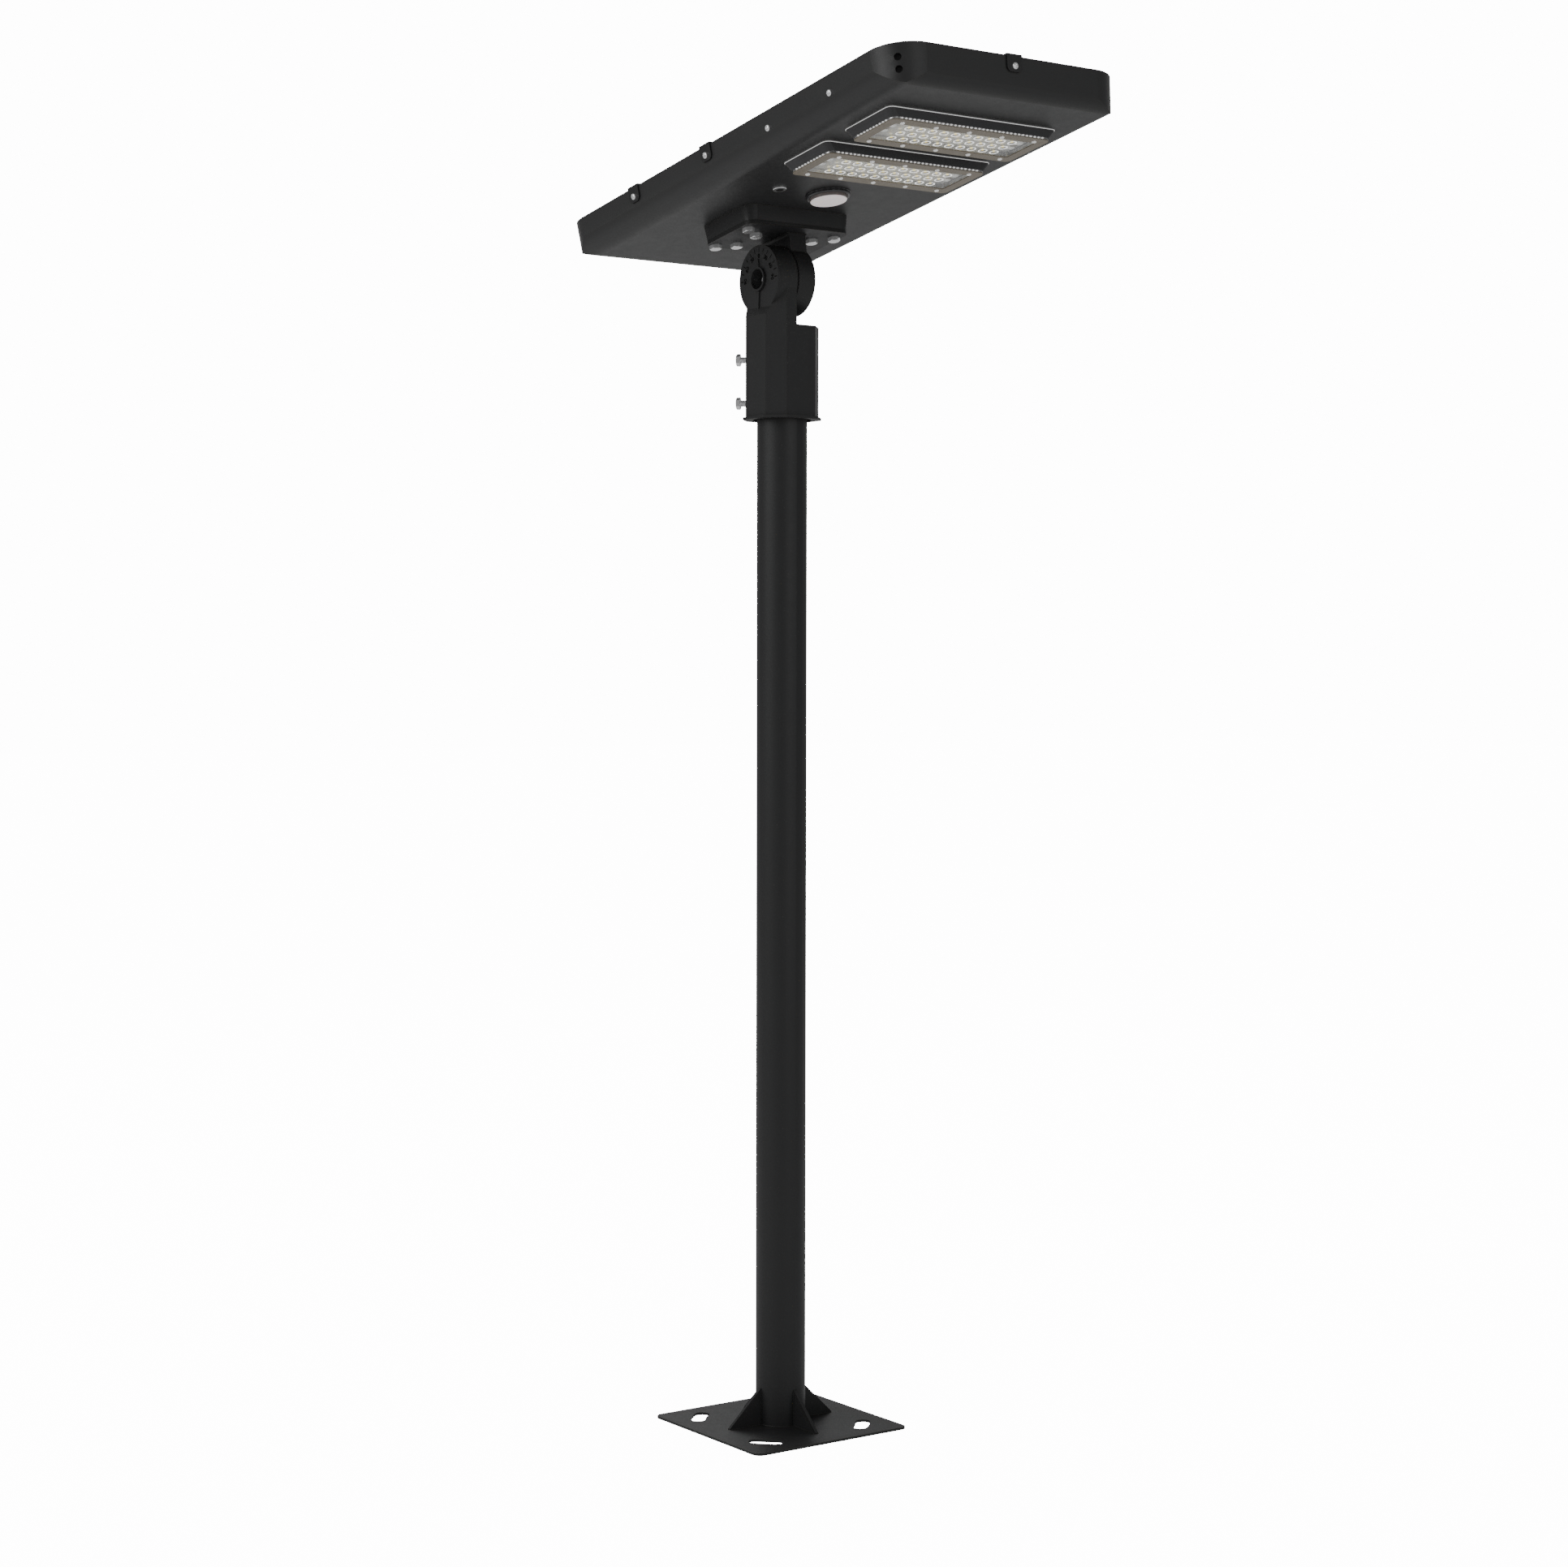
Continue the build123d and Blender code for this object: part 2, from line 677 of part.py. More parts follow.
# the pocket narrows with the wall's draft, so the panel is sized at the ledge
draft_in = (head_h - ledge_z) * tan(radians(draft))
panel_l -= 2 * draft_in
panel_w -= 2 * draft_in
panel_corner -= draft_in
backsheet_z = ledge_z + gasket_t
cell_z = backsheet_z + backsheet_t
glass_z = cell_z + cell_t

with BuildPart() as panel_gasket:
    with BuildSketch(level(ledge_z)):
        with Locations((head_mid, 0)):
            RectangleRounded(panel_l, panel_w, panel_corner)
            RectangleRounded(panel_l - 2 * ledge_w + 4, panel_w - 2 * ledge_w + 4,
                             panel_corner - ledge_w + 2, mode=Mode.SUBTRACT)
    extrude(amount=gasket_t)
write(panel_gasket, "panel_gasket")

with BuildPart() as panel_backsheet:
    with BuildSketch(level(backsheet_z)):
        with Locations((head_mid, 0)):
            RectangleRounded(panel_l, panel_w, panel_corner)
    extrude(amount=backsheet_t)
write(panel_backsheet, "panel_backsheet")

cell_pitch_x = (panel_l - 2 * cell_margin + cell_gap) / cell_cols
cell_pitch_y = (panel_w - 2 * cell_margin + cell_gap) / cell_rows
with BuildPart() as solar_cells:
    with BuildSketch(level(cell_z)):
        with Locations((head_mid, 0)):
            with GridLocations(cell_pitch_x, cell_pitch_y, cell_cols, cell_rows):
                Rectangle(cell_pitch_x - cell_gap, cell_pitch_y - cell_gap)
        chamfer(vertices(), cell_corner)
    extrude(amount=cell_t)
write(solar_cells, "solar_cells")

with BuildPart() as solar_glass:
    with BuildSketch(level(glass_z)):
        with Locations((head_mid, 0)):
            RectangleRounded(panel_l, panel_w, panel_corner)
    extrude(amount=glass_t)
write(solar_glass, "solar_glass")

with BuildPart() as junction_box:
    with BuildSketch(level(backsheet_z - seat)):
        with Locations(junction_at):
            RectangleRounded(junction[0], junction[1], 5)
    extrude(amount=-junction[2])
    fillet(edges().group_by(Axis(HEAD.origin, head_z))[0], 2)
write(junction_box, "junction_box")

# ================= clips and wall screws =================
with BuildPart() as panel_clips:
    for x, y, turn in clip_seats:
        with BuildSketch(wall_plane(x, y, turn).offset(seat)):
            with BuildLine():
                half = clip_w / 2
                top = clip_t + seat
                Polyline((-half, top), (-half, -clip_drop), (half, -clip_drop), (half, top), close=True)
            make_face()
            fillet(vertices().group_by(Axis.Y)[0], clip_round)
        extrude(amount=clip_t)
        with BuildSketch(wall_plane(x, y, turn).offset(seat)):
            with Locations((0, -clip_screw_drop)):
                Circle(pan_shank / 2 + hole_clear)
        extrude(amount=clip_t, mode=Mode.SUBTRACT)
        with BuildSketch(rim_plane(x, y, turn).offset(seat)):
            with BuildLine():
                wide = clip_pad_w / 2
                Polyline(
                    (-half, -clip_t / 2), (half, -clip_t / 2), (half, clip_pad_in), (wide, clip_pad_in),
                    (wide, clip_pad_in + clip_pad_l), (-wide, clip_pad_in + clip_pad_l),
                    (-wide, clip_pad_in), (-half, clip_pad_in), close=True,
                )
            make_face()
        extrude(amount=clip_t)
write(panel_clips, "panel_clips")

clip_screw_seats = [
    Plane(wall_plane(*place).offset(clip_t + seat).location * Location((0, -clip_screw_drop, 0)))
    for place in clip_seats
]
clip_screws = screws(clip_screw_seats, pan_shank, clip_t + pan_reach, pan_d, pan_h)
write(clip_screws, "clip_screws")

side_screw_seats = [
    Plane(wall_plane(*place).location * Location((0, (side_screw_z - head_h) / cos(radians(draft)), 0)))
    for place in side_seats
]
side_screws = screws(side_screw_seats, pan_shank, pan_reach, pan_d, pan_h)
write(side_screws, "side_screws")

# ================= light modules =================
board_top = -pocket_top - seat
chip_top = board_top - board_t
for name, x in zip(("front", "rear"), module_xs):
    with BuildPart() as led_gasket:
        with BuildSketch(under(0)):
            with Locations((x, 0)):
                RectangleRounded(bezel_l - 2 * gasket_in, bezel_w - 2 * gasket_in, bezel_corner)
                RectangleRounded(body_l + 1, body_w + 1, body_corner, mode=Mode.SUBTRACT)
        extrude(amount=led_gasket_t)
    write(led_gasket, f"led_gasket_{name}")

    with BuildPart() as led_bezel:
        with BuildSketch(under(-led_gasket_t)):
            with Locations((x, 0)):
                RectangleRounded(bezel_l, bezel_w, bezel_corner)
        with BuildSketch(under(-bezel_low)):
            with Locations((x, 0)):
                lip = 2 * (seat + bezel_lip)
                RectangleRounded(body_l + lip, body_w + lip, body_corner + lip / 2)
        loft()
        with BuildSketch(under(0)):
            with Locations((x, 0)):
                RectangleRounded(body_l + 2 * seat, body_w + 2 * seat, body_corner)
        extrude(amount=bezel_low + 1, mode=Mode.SUBTRACT)
    write(led_bezel, f"led_bezel_{name}")

    with BuildPart() as led_body:
        with BuildSketch(under(-seat)):
            with Locations((x, 0)):
                RectangleRounded(body_l, body_w, body_corner)
        extrude(amount=body_low - seat)
        # finned back that passes through the housing window
        with BuildSketch(level(-1)):
            with Locations((x, 0)):
                RectangleRounded(tongue_l, tongue_w, 3)
        extrude(amount=tongue_h + 1)
        with BuildSketch(level(wall)):
            with Locations((x, 0)):
                with GridLocations(fin_pitch, tongue_w, int(tongue_l / fin_pitch), 1):
                    Rectangle(fin_gap, 2 * tongue_w)
        extrude(amount=tongue_h, mode=Mode.SUBTRACT)
        # pocket for the board and lens
        with BuildSketch(under(-body_low - 1)):
            with Locations((x, 0)):
                RectangleRounded(pocket_l, pocket_w, 3)
        extrude(amount=-(body_low - pocket_top + 1), mode=Mode.SUBTRACT)
        with BuildSketch(under(0)):
            with Locations([(x + i, j) for i, j in led_screw_xy]):
                Circle(led_screw_d / 2 + hole_clear)
        extrude(amount=body_low + 1, mode=Mode.SUBTRACT)
        # scalloped edge below the bezel
        with BuildSketch(under(-bezel_low)):
            for side in (-1, 1):
                with Locations((x + side * body_l / 2, 0)):
                    count = int((body_w - 2 * body_corner) / notch_pitch)
                    with GridLocations(1, notch_pitch, 1, count):
                        Rectangle(2 * notch_depth, notch_w)
        extrude(amount=body_low, mode=Mode.SUBTRACT)
    write(led_body, f"led_body_{name}")

    with BuildPart() as led_board:
        with BuildSketch(under(board_top)):
            with Locations((x, 0)):
                Rectangle(pocket_l - 2, pocket_w - 2)
        extrude(amount=board_t)
    write(led_board, f"led_board_{name}")

    with BuildPart() as led_chips:
        with BuildSketch(under(chip_top)):
            with Locations((x, 0)):
                with GridLocations(led_pitch[0], led_pitch[1], led_rows, led_cols):
                    Rectangle(chip_d, chip_d)
        extrude(amount=chip_t)
    write(led_chips, f"led_chips_{name}")

    with BuildPart() as led_terminals:
        with BuildSketch(under(chip_top)):
            with Locations((x, 0)):
                with GridLocations(1, pocket_w - 2 * terminal_in, 1, 2):
                    Rectangle(terminal[0], terminal[1])
        extrude(amount=terminal[2])
    write(led_terminals, f"led_terminals_{name}")

    with BuildPart() as led_lens:
        with BuildSketch(under(-lens_z + lens_t)):
            with Locations((x, 0)):
                RectangleRounded(pocket_l - 2 * seat, pocket_w - 2 * seat, 3)
        extrude(amount=lens_t)
        with BuildSketch(under(-lens_z)):
            with Locations((x, 0)):
                with GridLocations(led_pitch[0], led_pitch[1], led_rows, led_cols):
                    Circle(lens_d / 2)
        extrude(amount=lens_h, taper=30)
    write(led_lens, f"led_lens_{name}")

    with BuildPart() as led_frame:
        with BuildSketch(under(-body_low - seat)):
            with Locations((x, 0)):
                RectangleRounded(body_l, body_w, body_corner)
                RectangleRounded(pocket_l - 2, pocket_w - 2, 3, mode=Mode.SUBTRACT)
            with Locations([(x + i, j) for i, j in led_screw_xy]):
                Circle(led_screw_d / 2 + hole_clear, mode=Mode.SUBTRACT)
        extrude(amount=frame_t)
    write(led_frame, f"led_frame_{name}")

    screw_level = -body_low - seat - frame_t
    led_seats = [
        Plane(origin=level(screw_level).from_local_coords((x + i, j, 0)), x_dir=head_x, z_dir=-head_z)
        for i, j in led_screw_xy
    ]
    led_screw_l = -screw_level + wall + led_screw_reach
    led_screws = screws(led_seats, led_screw_d, led_screw_l, led_screw_head_d, led_screw_head_h)
    write(led_screws, f"led_screws_{name}")

# ================= sensor =================
with BuildPart() as sensor_ring:
    with BuildSketch(under(-seat)):
        with Locations((sensor_x, 0)):
            Circle(sensor_ring_d / 2)
    extrude(amount=sensor_ring_h - seat)
    chamfer(edges().group_by(Axis(HEAD.origin, head_z))[0], 1.5)
    with BuildSketch(under(0)):
        with Locations((sensor_x, 0)):
            Circle(sensor_lens_d / 2 + hole_clear)
    extrude(amount=sensor_ring_h + 1, mode=Mode.SUBTRACT)
write(sensor_ring, "sensor_ring")

with BuildPart() as sensor_lens:
    with BuildSketch(under(-seat)):
        with Locations((sensor_x, 0)):
            Circle(sensor_lens_d / 2)
    extrude(amount=sensor_lens_low - seat)
    fillet(edges().group_by(Axis(HEAD.origin, head_z))[0], 2.5)
    with BuildSketch(level(-1)):
        with Locations((sensor_x, 0)):
            Circle(sensor_neck_d / 2)
    extrude(amount=wall + 1)
write(sensor_lens, "sensor_lens")

with BuildPart() as sensor_board:
    with BuildSketch(level(wall + seat)):
        with Locations((sensor_x, 0)):
            Circle(sensor_board_d / 2)
    extrude(amount=board_t)
    with BuildSketch(level(wall + seat)):
        with Locations((sensor_x, 0)):
            Rectangle(sensor_block, sensor_block)
    extrude(amount=board_t + sensor_block_h)
write(sensor_board, "sensor_board")

# ================= push switch =================
ring_low = -seat - switch_ring_h
bore_top = ring_low - button_proud + button_l + button_travel + switch_spare
with BuildPart() as switch_bezel:
    with BuildSketch(under(-seat)):
        with Locations((sensor_x, -switch_y)):
            Circle(switch_ring_d / 2)
    extrude(amount=switch_ring_h)
    fillet(edges().group_by(Axis(HEAD.origin, head_z))[0], switch_ring_h * 0.4)
    with BuildSketch(level(-switch_ring_h / 2)):
        with Locations((sensor_x, switch_y)):
            Circle(switch_barrel_d / 2)
    extrude(amount=bore_top + switch_floor + switch_ring_h / 2)
    with BuildSketch(level(ring_low - 1)):
        with Locations((sensor_x, switch_y)):
            Circle(switch_bore_d / 2)
    extrude(amount=bore_top - ring_low + 1, mode=Mode.SUBTRACT)
write(switch_bezel, "switch_bezel")

with BuildPart() as switch_nut:
    with BuildSketch(level(wall + seat)):
        with Locations((sensor_x, switch_y)):
            RegularPolygon(switch_nut_af / 2, 6, major_radius=False)
            Circle(switch_barrel_d / 2 + hole_clear, mode=Mode.SUBTRACT)
    extrude(amount=switch_nut_h)
write(switch_nut, "switch_nut")

with BuildPart() as power_button:
    with BuildSketch(level(ring_low - button_proud)):
        with Locations((sensor_x, switch_y)):
            Circle(switch_bore_d / 2 - run_clear)
    extrude(amount=button_l)
    fillet(edges().group_by(Axis(HEAD.origin, head_z))[0], 0.6)
write(power_button, "power_button")

# ================= battery =================
floor_z = wall + seat
pack_l = battery_cols * cell_d + (battery_cols - 1) * battery_gap
pack_w = battery_rows * cell_l + (battery_rows - 1) * battery_gap
pack_x = battery_front - pack_l / 2
pack_z = floor_z + tray_t + seat + cell_d / 2
with BuildPart() as battery_tray:
    with BuildSketch(level(floor_z)):
        with Locations((pack_x, 0)):
            Rectangle(pack_l + 2 * (tray_t + tray_gap), pack_w + 2 * (tray_t + tray_gap))
    extrude(amount=tray_h)
    with BuildSketch(level(floor_z + tray_t)):
        with Locations((pack_x, 0)):
            Rectangle(pack_l + 2 * tray_gap, pack_w + 2 * tray_gap)
    extrude(amount=tray_h, mode=Mode.SUBTRACT)
write(battery_tray, "battery_tray")

with BuildPart() as battery_cells:
    for row in range(battery_rows):
        cell_end = pack_w / 2 - row * (cell_l + battery_gap)
        with BuildSketch(HEAD_SIDE.offset(-cell_end)):
            with Locations((pack_x, pack_z)):
                with GridLocations(cell_d + battery_gap, 1, battery_cols, 1):
                    Circle(cell_d / 2)
        extrude(amount=cell_l)
write(battery_cells, "battery_cells")

strap_low = pack_z + cell_d / 2 + seat
with BuildPart() as battery_straps:
    for row in range(battery_rows):
        strap_y = (row - (battery_rows - 1) / 2) * (cell_l + battery_gap)
        with BuildSketch(HEAD_SIDE.offset(-strap_y)):
            with Locations((pack_x, floor_z)):
                tall = strap_low + strap_t - floor_z
                span = pack_l + 2 * (tray_t + tray_gap + seat)
                Rectangle(span + 2 * strap_t, tall, align=(Align.CENTER, Align.MIN))
                Rectangle(span, tall - strap_t, align=(Align.CENTER, Align.MIN), mode=Mode.SUBTRACT)
        extrude(amount=strap_w / 2, both=True)
write(battery_straps, "battery_straps")

bms_x = controller_at[0] - controller[0] / 2 - controller_flange - 25 - bms_size[0] / 2
with BuildPart() as battery_board:
    with BuildSketch(level(floor_z)):
        with Locations((bms_x, bms_y)):
            Rectangle(*bms_size)
    extrude(amount=board_t)
    with BuildSketch(level(floor_z)):
        with Locations((bms_x, bms_y)):
            Rectangle(bms_size[0] - 6, bms_size[1] / 2)
    extrude(amount=board_t + bms_block_h)
write(battery_board, "battery_board")

# ================= charge controller =================
with BuildPart() as charge_controller:
    with BuildSketch(level(floor_z)):
        with Locations(controller_at):
            RectangleRounded(controller[0], controller[1], 4)
    extrude(amount=controller[2])
    fillet(edges().group_by(Axis(HEAD.origin, head_z))[-1], 2)
    with BuildSketch(level(floor_z)):
        with Locations(controller_at):
            Rectangle(controller[0] + 2 * controller_flange, controller[1] * 0.4)
    extrude(amount=controller_flange_t)
write(charge_controller, "charge_controller")

# ================= internal leads =================
box_rear = controller_at[0] - controller[0] / 2 - seat
box_front = controller_at[0] + controller[0] / 2 + seat
box_side = controller_at[1] - controller[1] / 2 - seat
bms_front = bms_x + bms_size[0] / 2 - 3 + seat
module_rear = module_xs[1] - tongue_l / 2 - seat
module_gap = (module_xs[1] + tongue_l / 2 + seat, module_xs[0] - tongue_l / 2 - seat)
led_lead_z = wall + lead_d / 2 + seat
junction_rear = junction_at[0] - junction[0] / 2 - seat
junction_z = backsheet_z - seat - junction[2] / 2
block_side = sensor_block / 2 + seat
sensor_lead_y = controller_at[1] + sensor_lead_in
barrel_side = switch_y + switch_barrel_d / 2 + seat
lead_routes = {
    "battery_lead": [(bms_front, bms_y, lead_z), (box_rear, bms_y, lead_z)],
    "led_lead_rear": [(box_front, lead_y, led_lead_z), (module_rear, lead_y, led_lead_z)],
    "led_lead_front": [(module_gap[0], lead_y, led_lead_z), (module_gap[1], lead_y, led_lead_z)],
    "panel_lead": [
        (junction_rear, 10, junction_z), (junction_rear - 35, 10, junction_z),
        (junction_rear - 35, box_side - 25, lead_z + 5), (junction_rear - 35, box_side, lead_z + 5),
    ],
    "sensor_lead": [
        (box_front, sensor_lead_y, lead_z), (sensor_x, sensor_lead_y, lead_z),
        (sensor_x, block_side, lead_z),
    ],
    "switch_lead": [(sensor_x, barrel_side, lead_z), (sensor_x, -block_side, lead_z)],
}
with BuildPart() as internal_leads:
    for route in lead_routes.values():
        points = [HEAD.from_local_coords(point) for point in route]
        with BuildLine() as path:
            if len(points) > 2:
                FilletPolyline(*points, radius=lead_bend)
            else:
                Line(*points)
        with BuildSketch(Plane(origin=path.line @ 0, z_dir=path.line % 0)):
            Circle(lead_d / 2)
        sweep(path=path.line)
write(internal_leads, "internal_leads")
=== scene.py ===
import json
from math import atan2, cos, pi, radians, sin, sqrt, tan

import bmesh
import bpy
import numpy as np
from mathutils import Matrix, Vector


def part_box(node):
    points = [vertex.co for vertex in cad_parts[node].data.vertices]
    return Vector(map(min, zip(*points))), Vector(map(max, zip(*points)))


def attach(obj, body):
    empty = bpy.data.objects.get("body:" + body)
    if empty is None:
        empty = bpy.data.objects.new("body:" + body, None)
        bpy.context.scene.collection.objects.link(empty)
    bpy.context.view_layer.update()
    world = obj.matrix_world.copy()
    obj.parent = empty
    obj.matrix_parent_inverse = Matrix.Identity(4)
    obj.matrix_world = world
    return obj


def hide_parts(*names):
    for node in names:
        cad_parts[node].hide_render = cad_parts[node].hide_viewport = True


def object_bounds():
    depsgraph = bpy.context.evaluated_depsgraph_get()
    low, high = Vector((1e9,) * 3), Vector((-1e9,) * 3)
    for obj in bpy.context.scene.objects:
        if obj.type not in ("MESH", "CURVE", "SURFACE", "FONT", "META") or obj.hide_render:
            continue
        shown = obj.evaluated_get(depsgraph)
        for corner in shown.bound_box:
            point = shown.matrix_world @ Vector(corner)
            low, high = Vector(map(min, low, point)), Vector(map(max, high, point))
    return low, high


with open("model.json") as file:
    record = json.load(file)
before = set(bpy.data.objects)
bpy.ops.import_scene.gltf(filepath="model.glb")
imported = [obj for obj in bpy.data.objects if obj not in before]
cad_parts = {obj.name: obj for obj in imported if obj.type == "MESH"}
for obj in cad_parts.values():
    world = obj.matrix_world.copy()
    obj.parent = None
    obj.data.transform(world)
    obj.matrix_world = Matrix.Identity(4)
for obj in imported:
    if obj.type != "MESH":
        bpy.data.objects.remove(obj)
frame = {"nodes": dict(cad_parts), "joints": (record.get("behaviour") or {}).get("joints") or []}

cad_low, cad_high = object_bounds()
MM = 0.001

# sizes of details that the CAD leaves plain
finger_pitch, finger_w = 1.9 * MM, 0.07 * MM     # printed lines on the cells
busbar_pitch, busbar_w = 24.2 * MM, 1.3 * MM
coarse_pitch = 1.25 * MM   # thread of the hexagon screws
clip_pitch = 0.7 * MM      # thread of the screws in the housing's walls
module_pitch = 0.5 * MM    # thread of the light modules' screws
lens_plate = 1.5 * MM      # thickness between the lens cups
cup_share = 0.375          # a lens cup's radius over the pitch
bead_pitch = 5.6 * MM
module_corner = 7 * MM     # of the bezels and of the module bodies
sensor_neck = 14.8 * MM    # radius of the cap's neck
gusset_half = 2.0 * MM     # half of a gusset's thickness
weld_bead = 0.7 * MM       # radius
scale_face = 34.0 * MM     # from the pole's axis to the knuckle's outer face, along the pivot
scale_floor = 33.6 * MM    # to the foot of the black bars inside the cut marks
number_r = 27.4 * MM       # radius of the ring of numbers
number_size = 7.2 * MM
tick_size = (5.0 * MM, 0.9 * MM, 0.5 * MM)
tick_inset = 5.9 * MM      # from the knuckle's rim to the middle of a mark

# ------------------------------------------------------------------ frames
joints = {joint["name"]: joint for joint in frame["joints"]}
pivot = Vector(joints["head_tilt"]["pos_m"])
up = Vector(joints["power_press"]["axis"]).normalized()      # square to the head's underside
nose = Vector((up.z, 0.0, -up.x))
left = Vector((0.0, 1.0, 0.0))
HEAD = Matrix((nose, left, up)).transposed().to_4x4()
HEAD.translation = pivot
PIVOT = Matrix(((1, 0, 0, pivot.x), (0, 0, -1, pivot.y), (0, 1, 0, pivot.z), (0, 0, 0, 1)))
TO_HEAD = HEAD.inverted()


def span(node, into=TO_HEAD):
    """Lowest and highest corner of a CAD node in the head's own axes."""
    points = [into @ v.co for v in frame["nodes"][node].data.vertices]
    low = Vector(min(p[i] for p in points) for i in range(3))
    high = Vector(max(p[i] for p in points) for i in range(3))
    return low, high


# --------------------------------------------------------------- materials
def node_maker(mat):
    tree = mat.node_tree

    def make(kind, **values):
        node = tree.nodes.new(kind)
        for key, value in values.items():
            if key in node.inputs:
                node.inputs[key].default_value = value
            else:
                setattr(node, key, value)
        return node

    return make, tree.links.new


def blend_colour(make, link, factor, a, b):
    mix = make("ShaderNodeMix", data_type="RGBA")
    mix.inputs[6].default_value = (*a, 1)
    mix.inputs[7].default_value = (*b, 1)
    link(factor, mix.inputs[0])
    return mix.outputs[2]


def shade(colour, gain):
    return tuple(min(1.0, c * gain) for c in colour)


def material(name, colour, rough, metallic=0.0, grain=0.0, grain_size=0.6, cloud=0.08,
             smudge=0.08, coat=0.0, ior=1.5, **sockets):
    """Coating, plastic or metal with uneven colour, uneven gloss and a fine surface grain.
    grain_size is in millimetres; cloud and smudge are the spread of colour and of roughness."""
    mat = bpy.data.materials.new(name)
    mat.use_nodes = True
    make, link = node_maker(mat)
    bsdf = mat.node_tree.nodes["Principled BSDF"]
    bsdf.inputs["Metallic"].default_value = metallic
    bsdf.inputs["IOR"].default_value = ior
    bsdf.inputs["Coat Weight"].default_value = coat
    bsdf.inputs["Coat Roughness"].default_value = 0.2
    for key, value in sockets.items():
        bsdf.inputs[key.replace("_", " ")].default_value = value
    place = make("ShaderNodeTexCoord").outputs["Object"]
    wide = make("ShaderNodeTexNoise", Scale=14.0, Detail=5.0, Roughness=0.6)
    link(place, wide.inputs["Vector"])
    tone = blend_colour(make, link, wide.outputs["Fac"], shade(colour, 1 - cloud), shade(colour, 1 + cloud))
    link(tone, bsdf.inputs["Base Color"])
    rub = make("ShaderNodeTexNoise", Scale=55.0, Detail=7.0, Roughness=0.65)
    link(place, rub.inputs["Vector"])
    gloss = make("ShaderNodeMapRange")
    gloss.inputs["From Min"].default_value = 0.3
    gloss.inputs["From Max"].default_value = 0.7
    gloss.inputs["To Min"].default_value = max(0.02, rough - smudge)
    gloss.inputs["To Max"].default_value = min(1.0, rough + smudge)
    link(rub.outputs["Fac"], gloss.inputs["Value"])
    link(gloss.outputs["Result"], bsdf.inputs["Roughness"])
    if grain:
        fine = make("ShaderNodeTexNoise", Scale=1000.0 / grain_size, Detail=3.0, Roughness=0.55)
        link(place, fine.inputs["Vector"])
        bump = make("ShaderNodeBump", Strength=grain, Distance=0.0002)
        link(fine.outputs["Fac"], bump.inputs["Height"])
        link(bump.outputs["Normal"], bsdf.inputs["Normal"])
    return mat


def solar_cell_material():
    """Blue-black silicon with fine silver fingers across it and wider busbars along the head."""
    mat = material("silicon_cells", (0.008, 0.02, 0.09), 0.22, grain=0.12, grain_size=1.5, cloud=0.35,
                   coat=0.4)
    make, link = node_maker(mat)
    bsdf = mat.node_tree.nodes["Principled BSDF"]
    blue = bsdf.inputs["Base Color"].links[0].from_socket
    place = make("ShaderNodeTexCoord").outputs["Object"]
    turn = make("ShaderNodeMapping", vector_type="TEXTURE")
    turn.inputs["Rotation"].default_value = (0, -atan2(nose.z, nose.x), 0)
    link(place, turn.inputs["Vector"])
    split = make("ShaderNodeSeparateXYZ")
    link(turn.outputs["Vector"], split.inputs["Vector"])

    def lines(axis, pitch, width):
        wave = make("ShaderNodeMath", operation="PINGPONG")
        wave.inputs[1].default_value = pitch / 2
        link(split.outputs[axis], wave.inputs[0])
        cut = make("ShaderNodeMath", operation="LESS_THAN")
        cut.inputs[1].default_value = width / 2
        link(wave.outputs[0], cut.inputs[0])
        return cut.outputs[0]

    both = make("ShaderNodeMath", operation="MAXIMUM")
    link(lines("X", finger_pitch, finger_w), both.inputs[0])
    link(lines("Y", busbar_pitch, busbar_w), both.inputs[1])
    mix = make("ShaderNodeMix", data_type="RGBA")
    mix.inputs[7].default_value = (0.62, 0.63, 0.65, 1)
    link(both.outputs[0], mix.inputs[0])
    link(blue, mix.inputs[6])
    link(mix.outputs[2], bsdf.inputs["Base Color"])
    return mat


# the coatings
powder_pole = material("powder_pole", (0.019, 0.019, 0.0195), 0.46, grain=0.2, grain_size=1.1,
                       cloud=0.04, smudge=0.04, Specular_IOR_Level=0.35)
powder_cast = material("powder_cast", (0.020, 0.020, 0.0205), 0.5, grain=0.3, grain_size=0.9,
                       cloud=0.04, smudge=0.04, Specular_IOR_Level=0.35)
powder_head = material("powder_head", (0.022, 0.022, 0.0225), 0.44, grain=0.2, grain_size=0.8,
                       cloud=0.03, smudge=0.03, Specular_IOR_Level=0.45)
powder_clip = material("powder_clip", (0.014, 0.014, 0.0145), 0.36, grain=0.25, grain_size=0.7, cloud=0.1)
# near-black for the scale's numbers and for the bars lying in its cut marks
scale_black = material("scale_black_fill", (0.002, 0.002, 0.002), 0.6, grain=0.2, grain_size=0.6, Specular_IOR_Level=0.05)

# the metals
# the stainless glows faintly white, a painted glow that lifts the bolts, nuts and screws
stainless_painted_glow = material("polished_stainless_painted_glow", (0.82, 0.82, 0.83), 0.18, metallic=1.0, grain=0.1, grain_size=0.35,
                 cloud=0.05, Emission_Color=(1, 1, 1, 1), Emission_Strength=0.06)
# the module screws' heads glow white, a painted glow
screw_steel_painted_glow = material("screw_head_painted_glow", (0.9, 0.9, 0.9), 0.3, metallic=0.6, grain=0.1, grain_size=0.35,
                       cloud=0.05, Emission_Color=(1, 1, 1, 1), Emission_Strength=0.15)
zinc = material("zinc_plate", (0.66, 0.66, 0.64), 0.34, metallic=1.0, grain=0.2, grain_size=1.5, cloud=0.15)
bright_cast = material("bright_cast", (0.8, 0.8, 0.8), 0.3, metallic=1.0, grain=0.3, grain_size=0.8,
                       cloud=0.1)
tinned = material("tinned_pad", (0.75, 0.74, 0.7), 0.3, metallic=1.0, grain=0.2, grain_size=0.4, cloud=0.1)
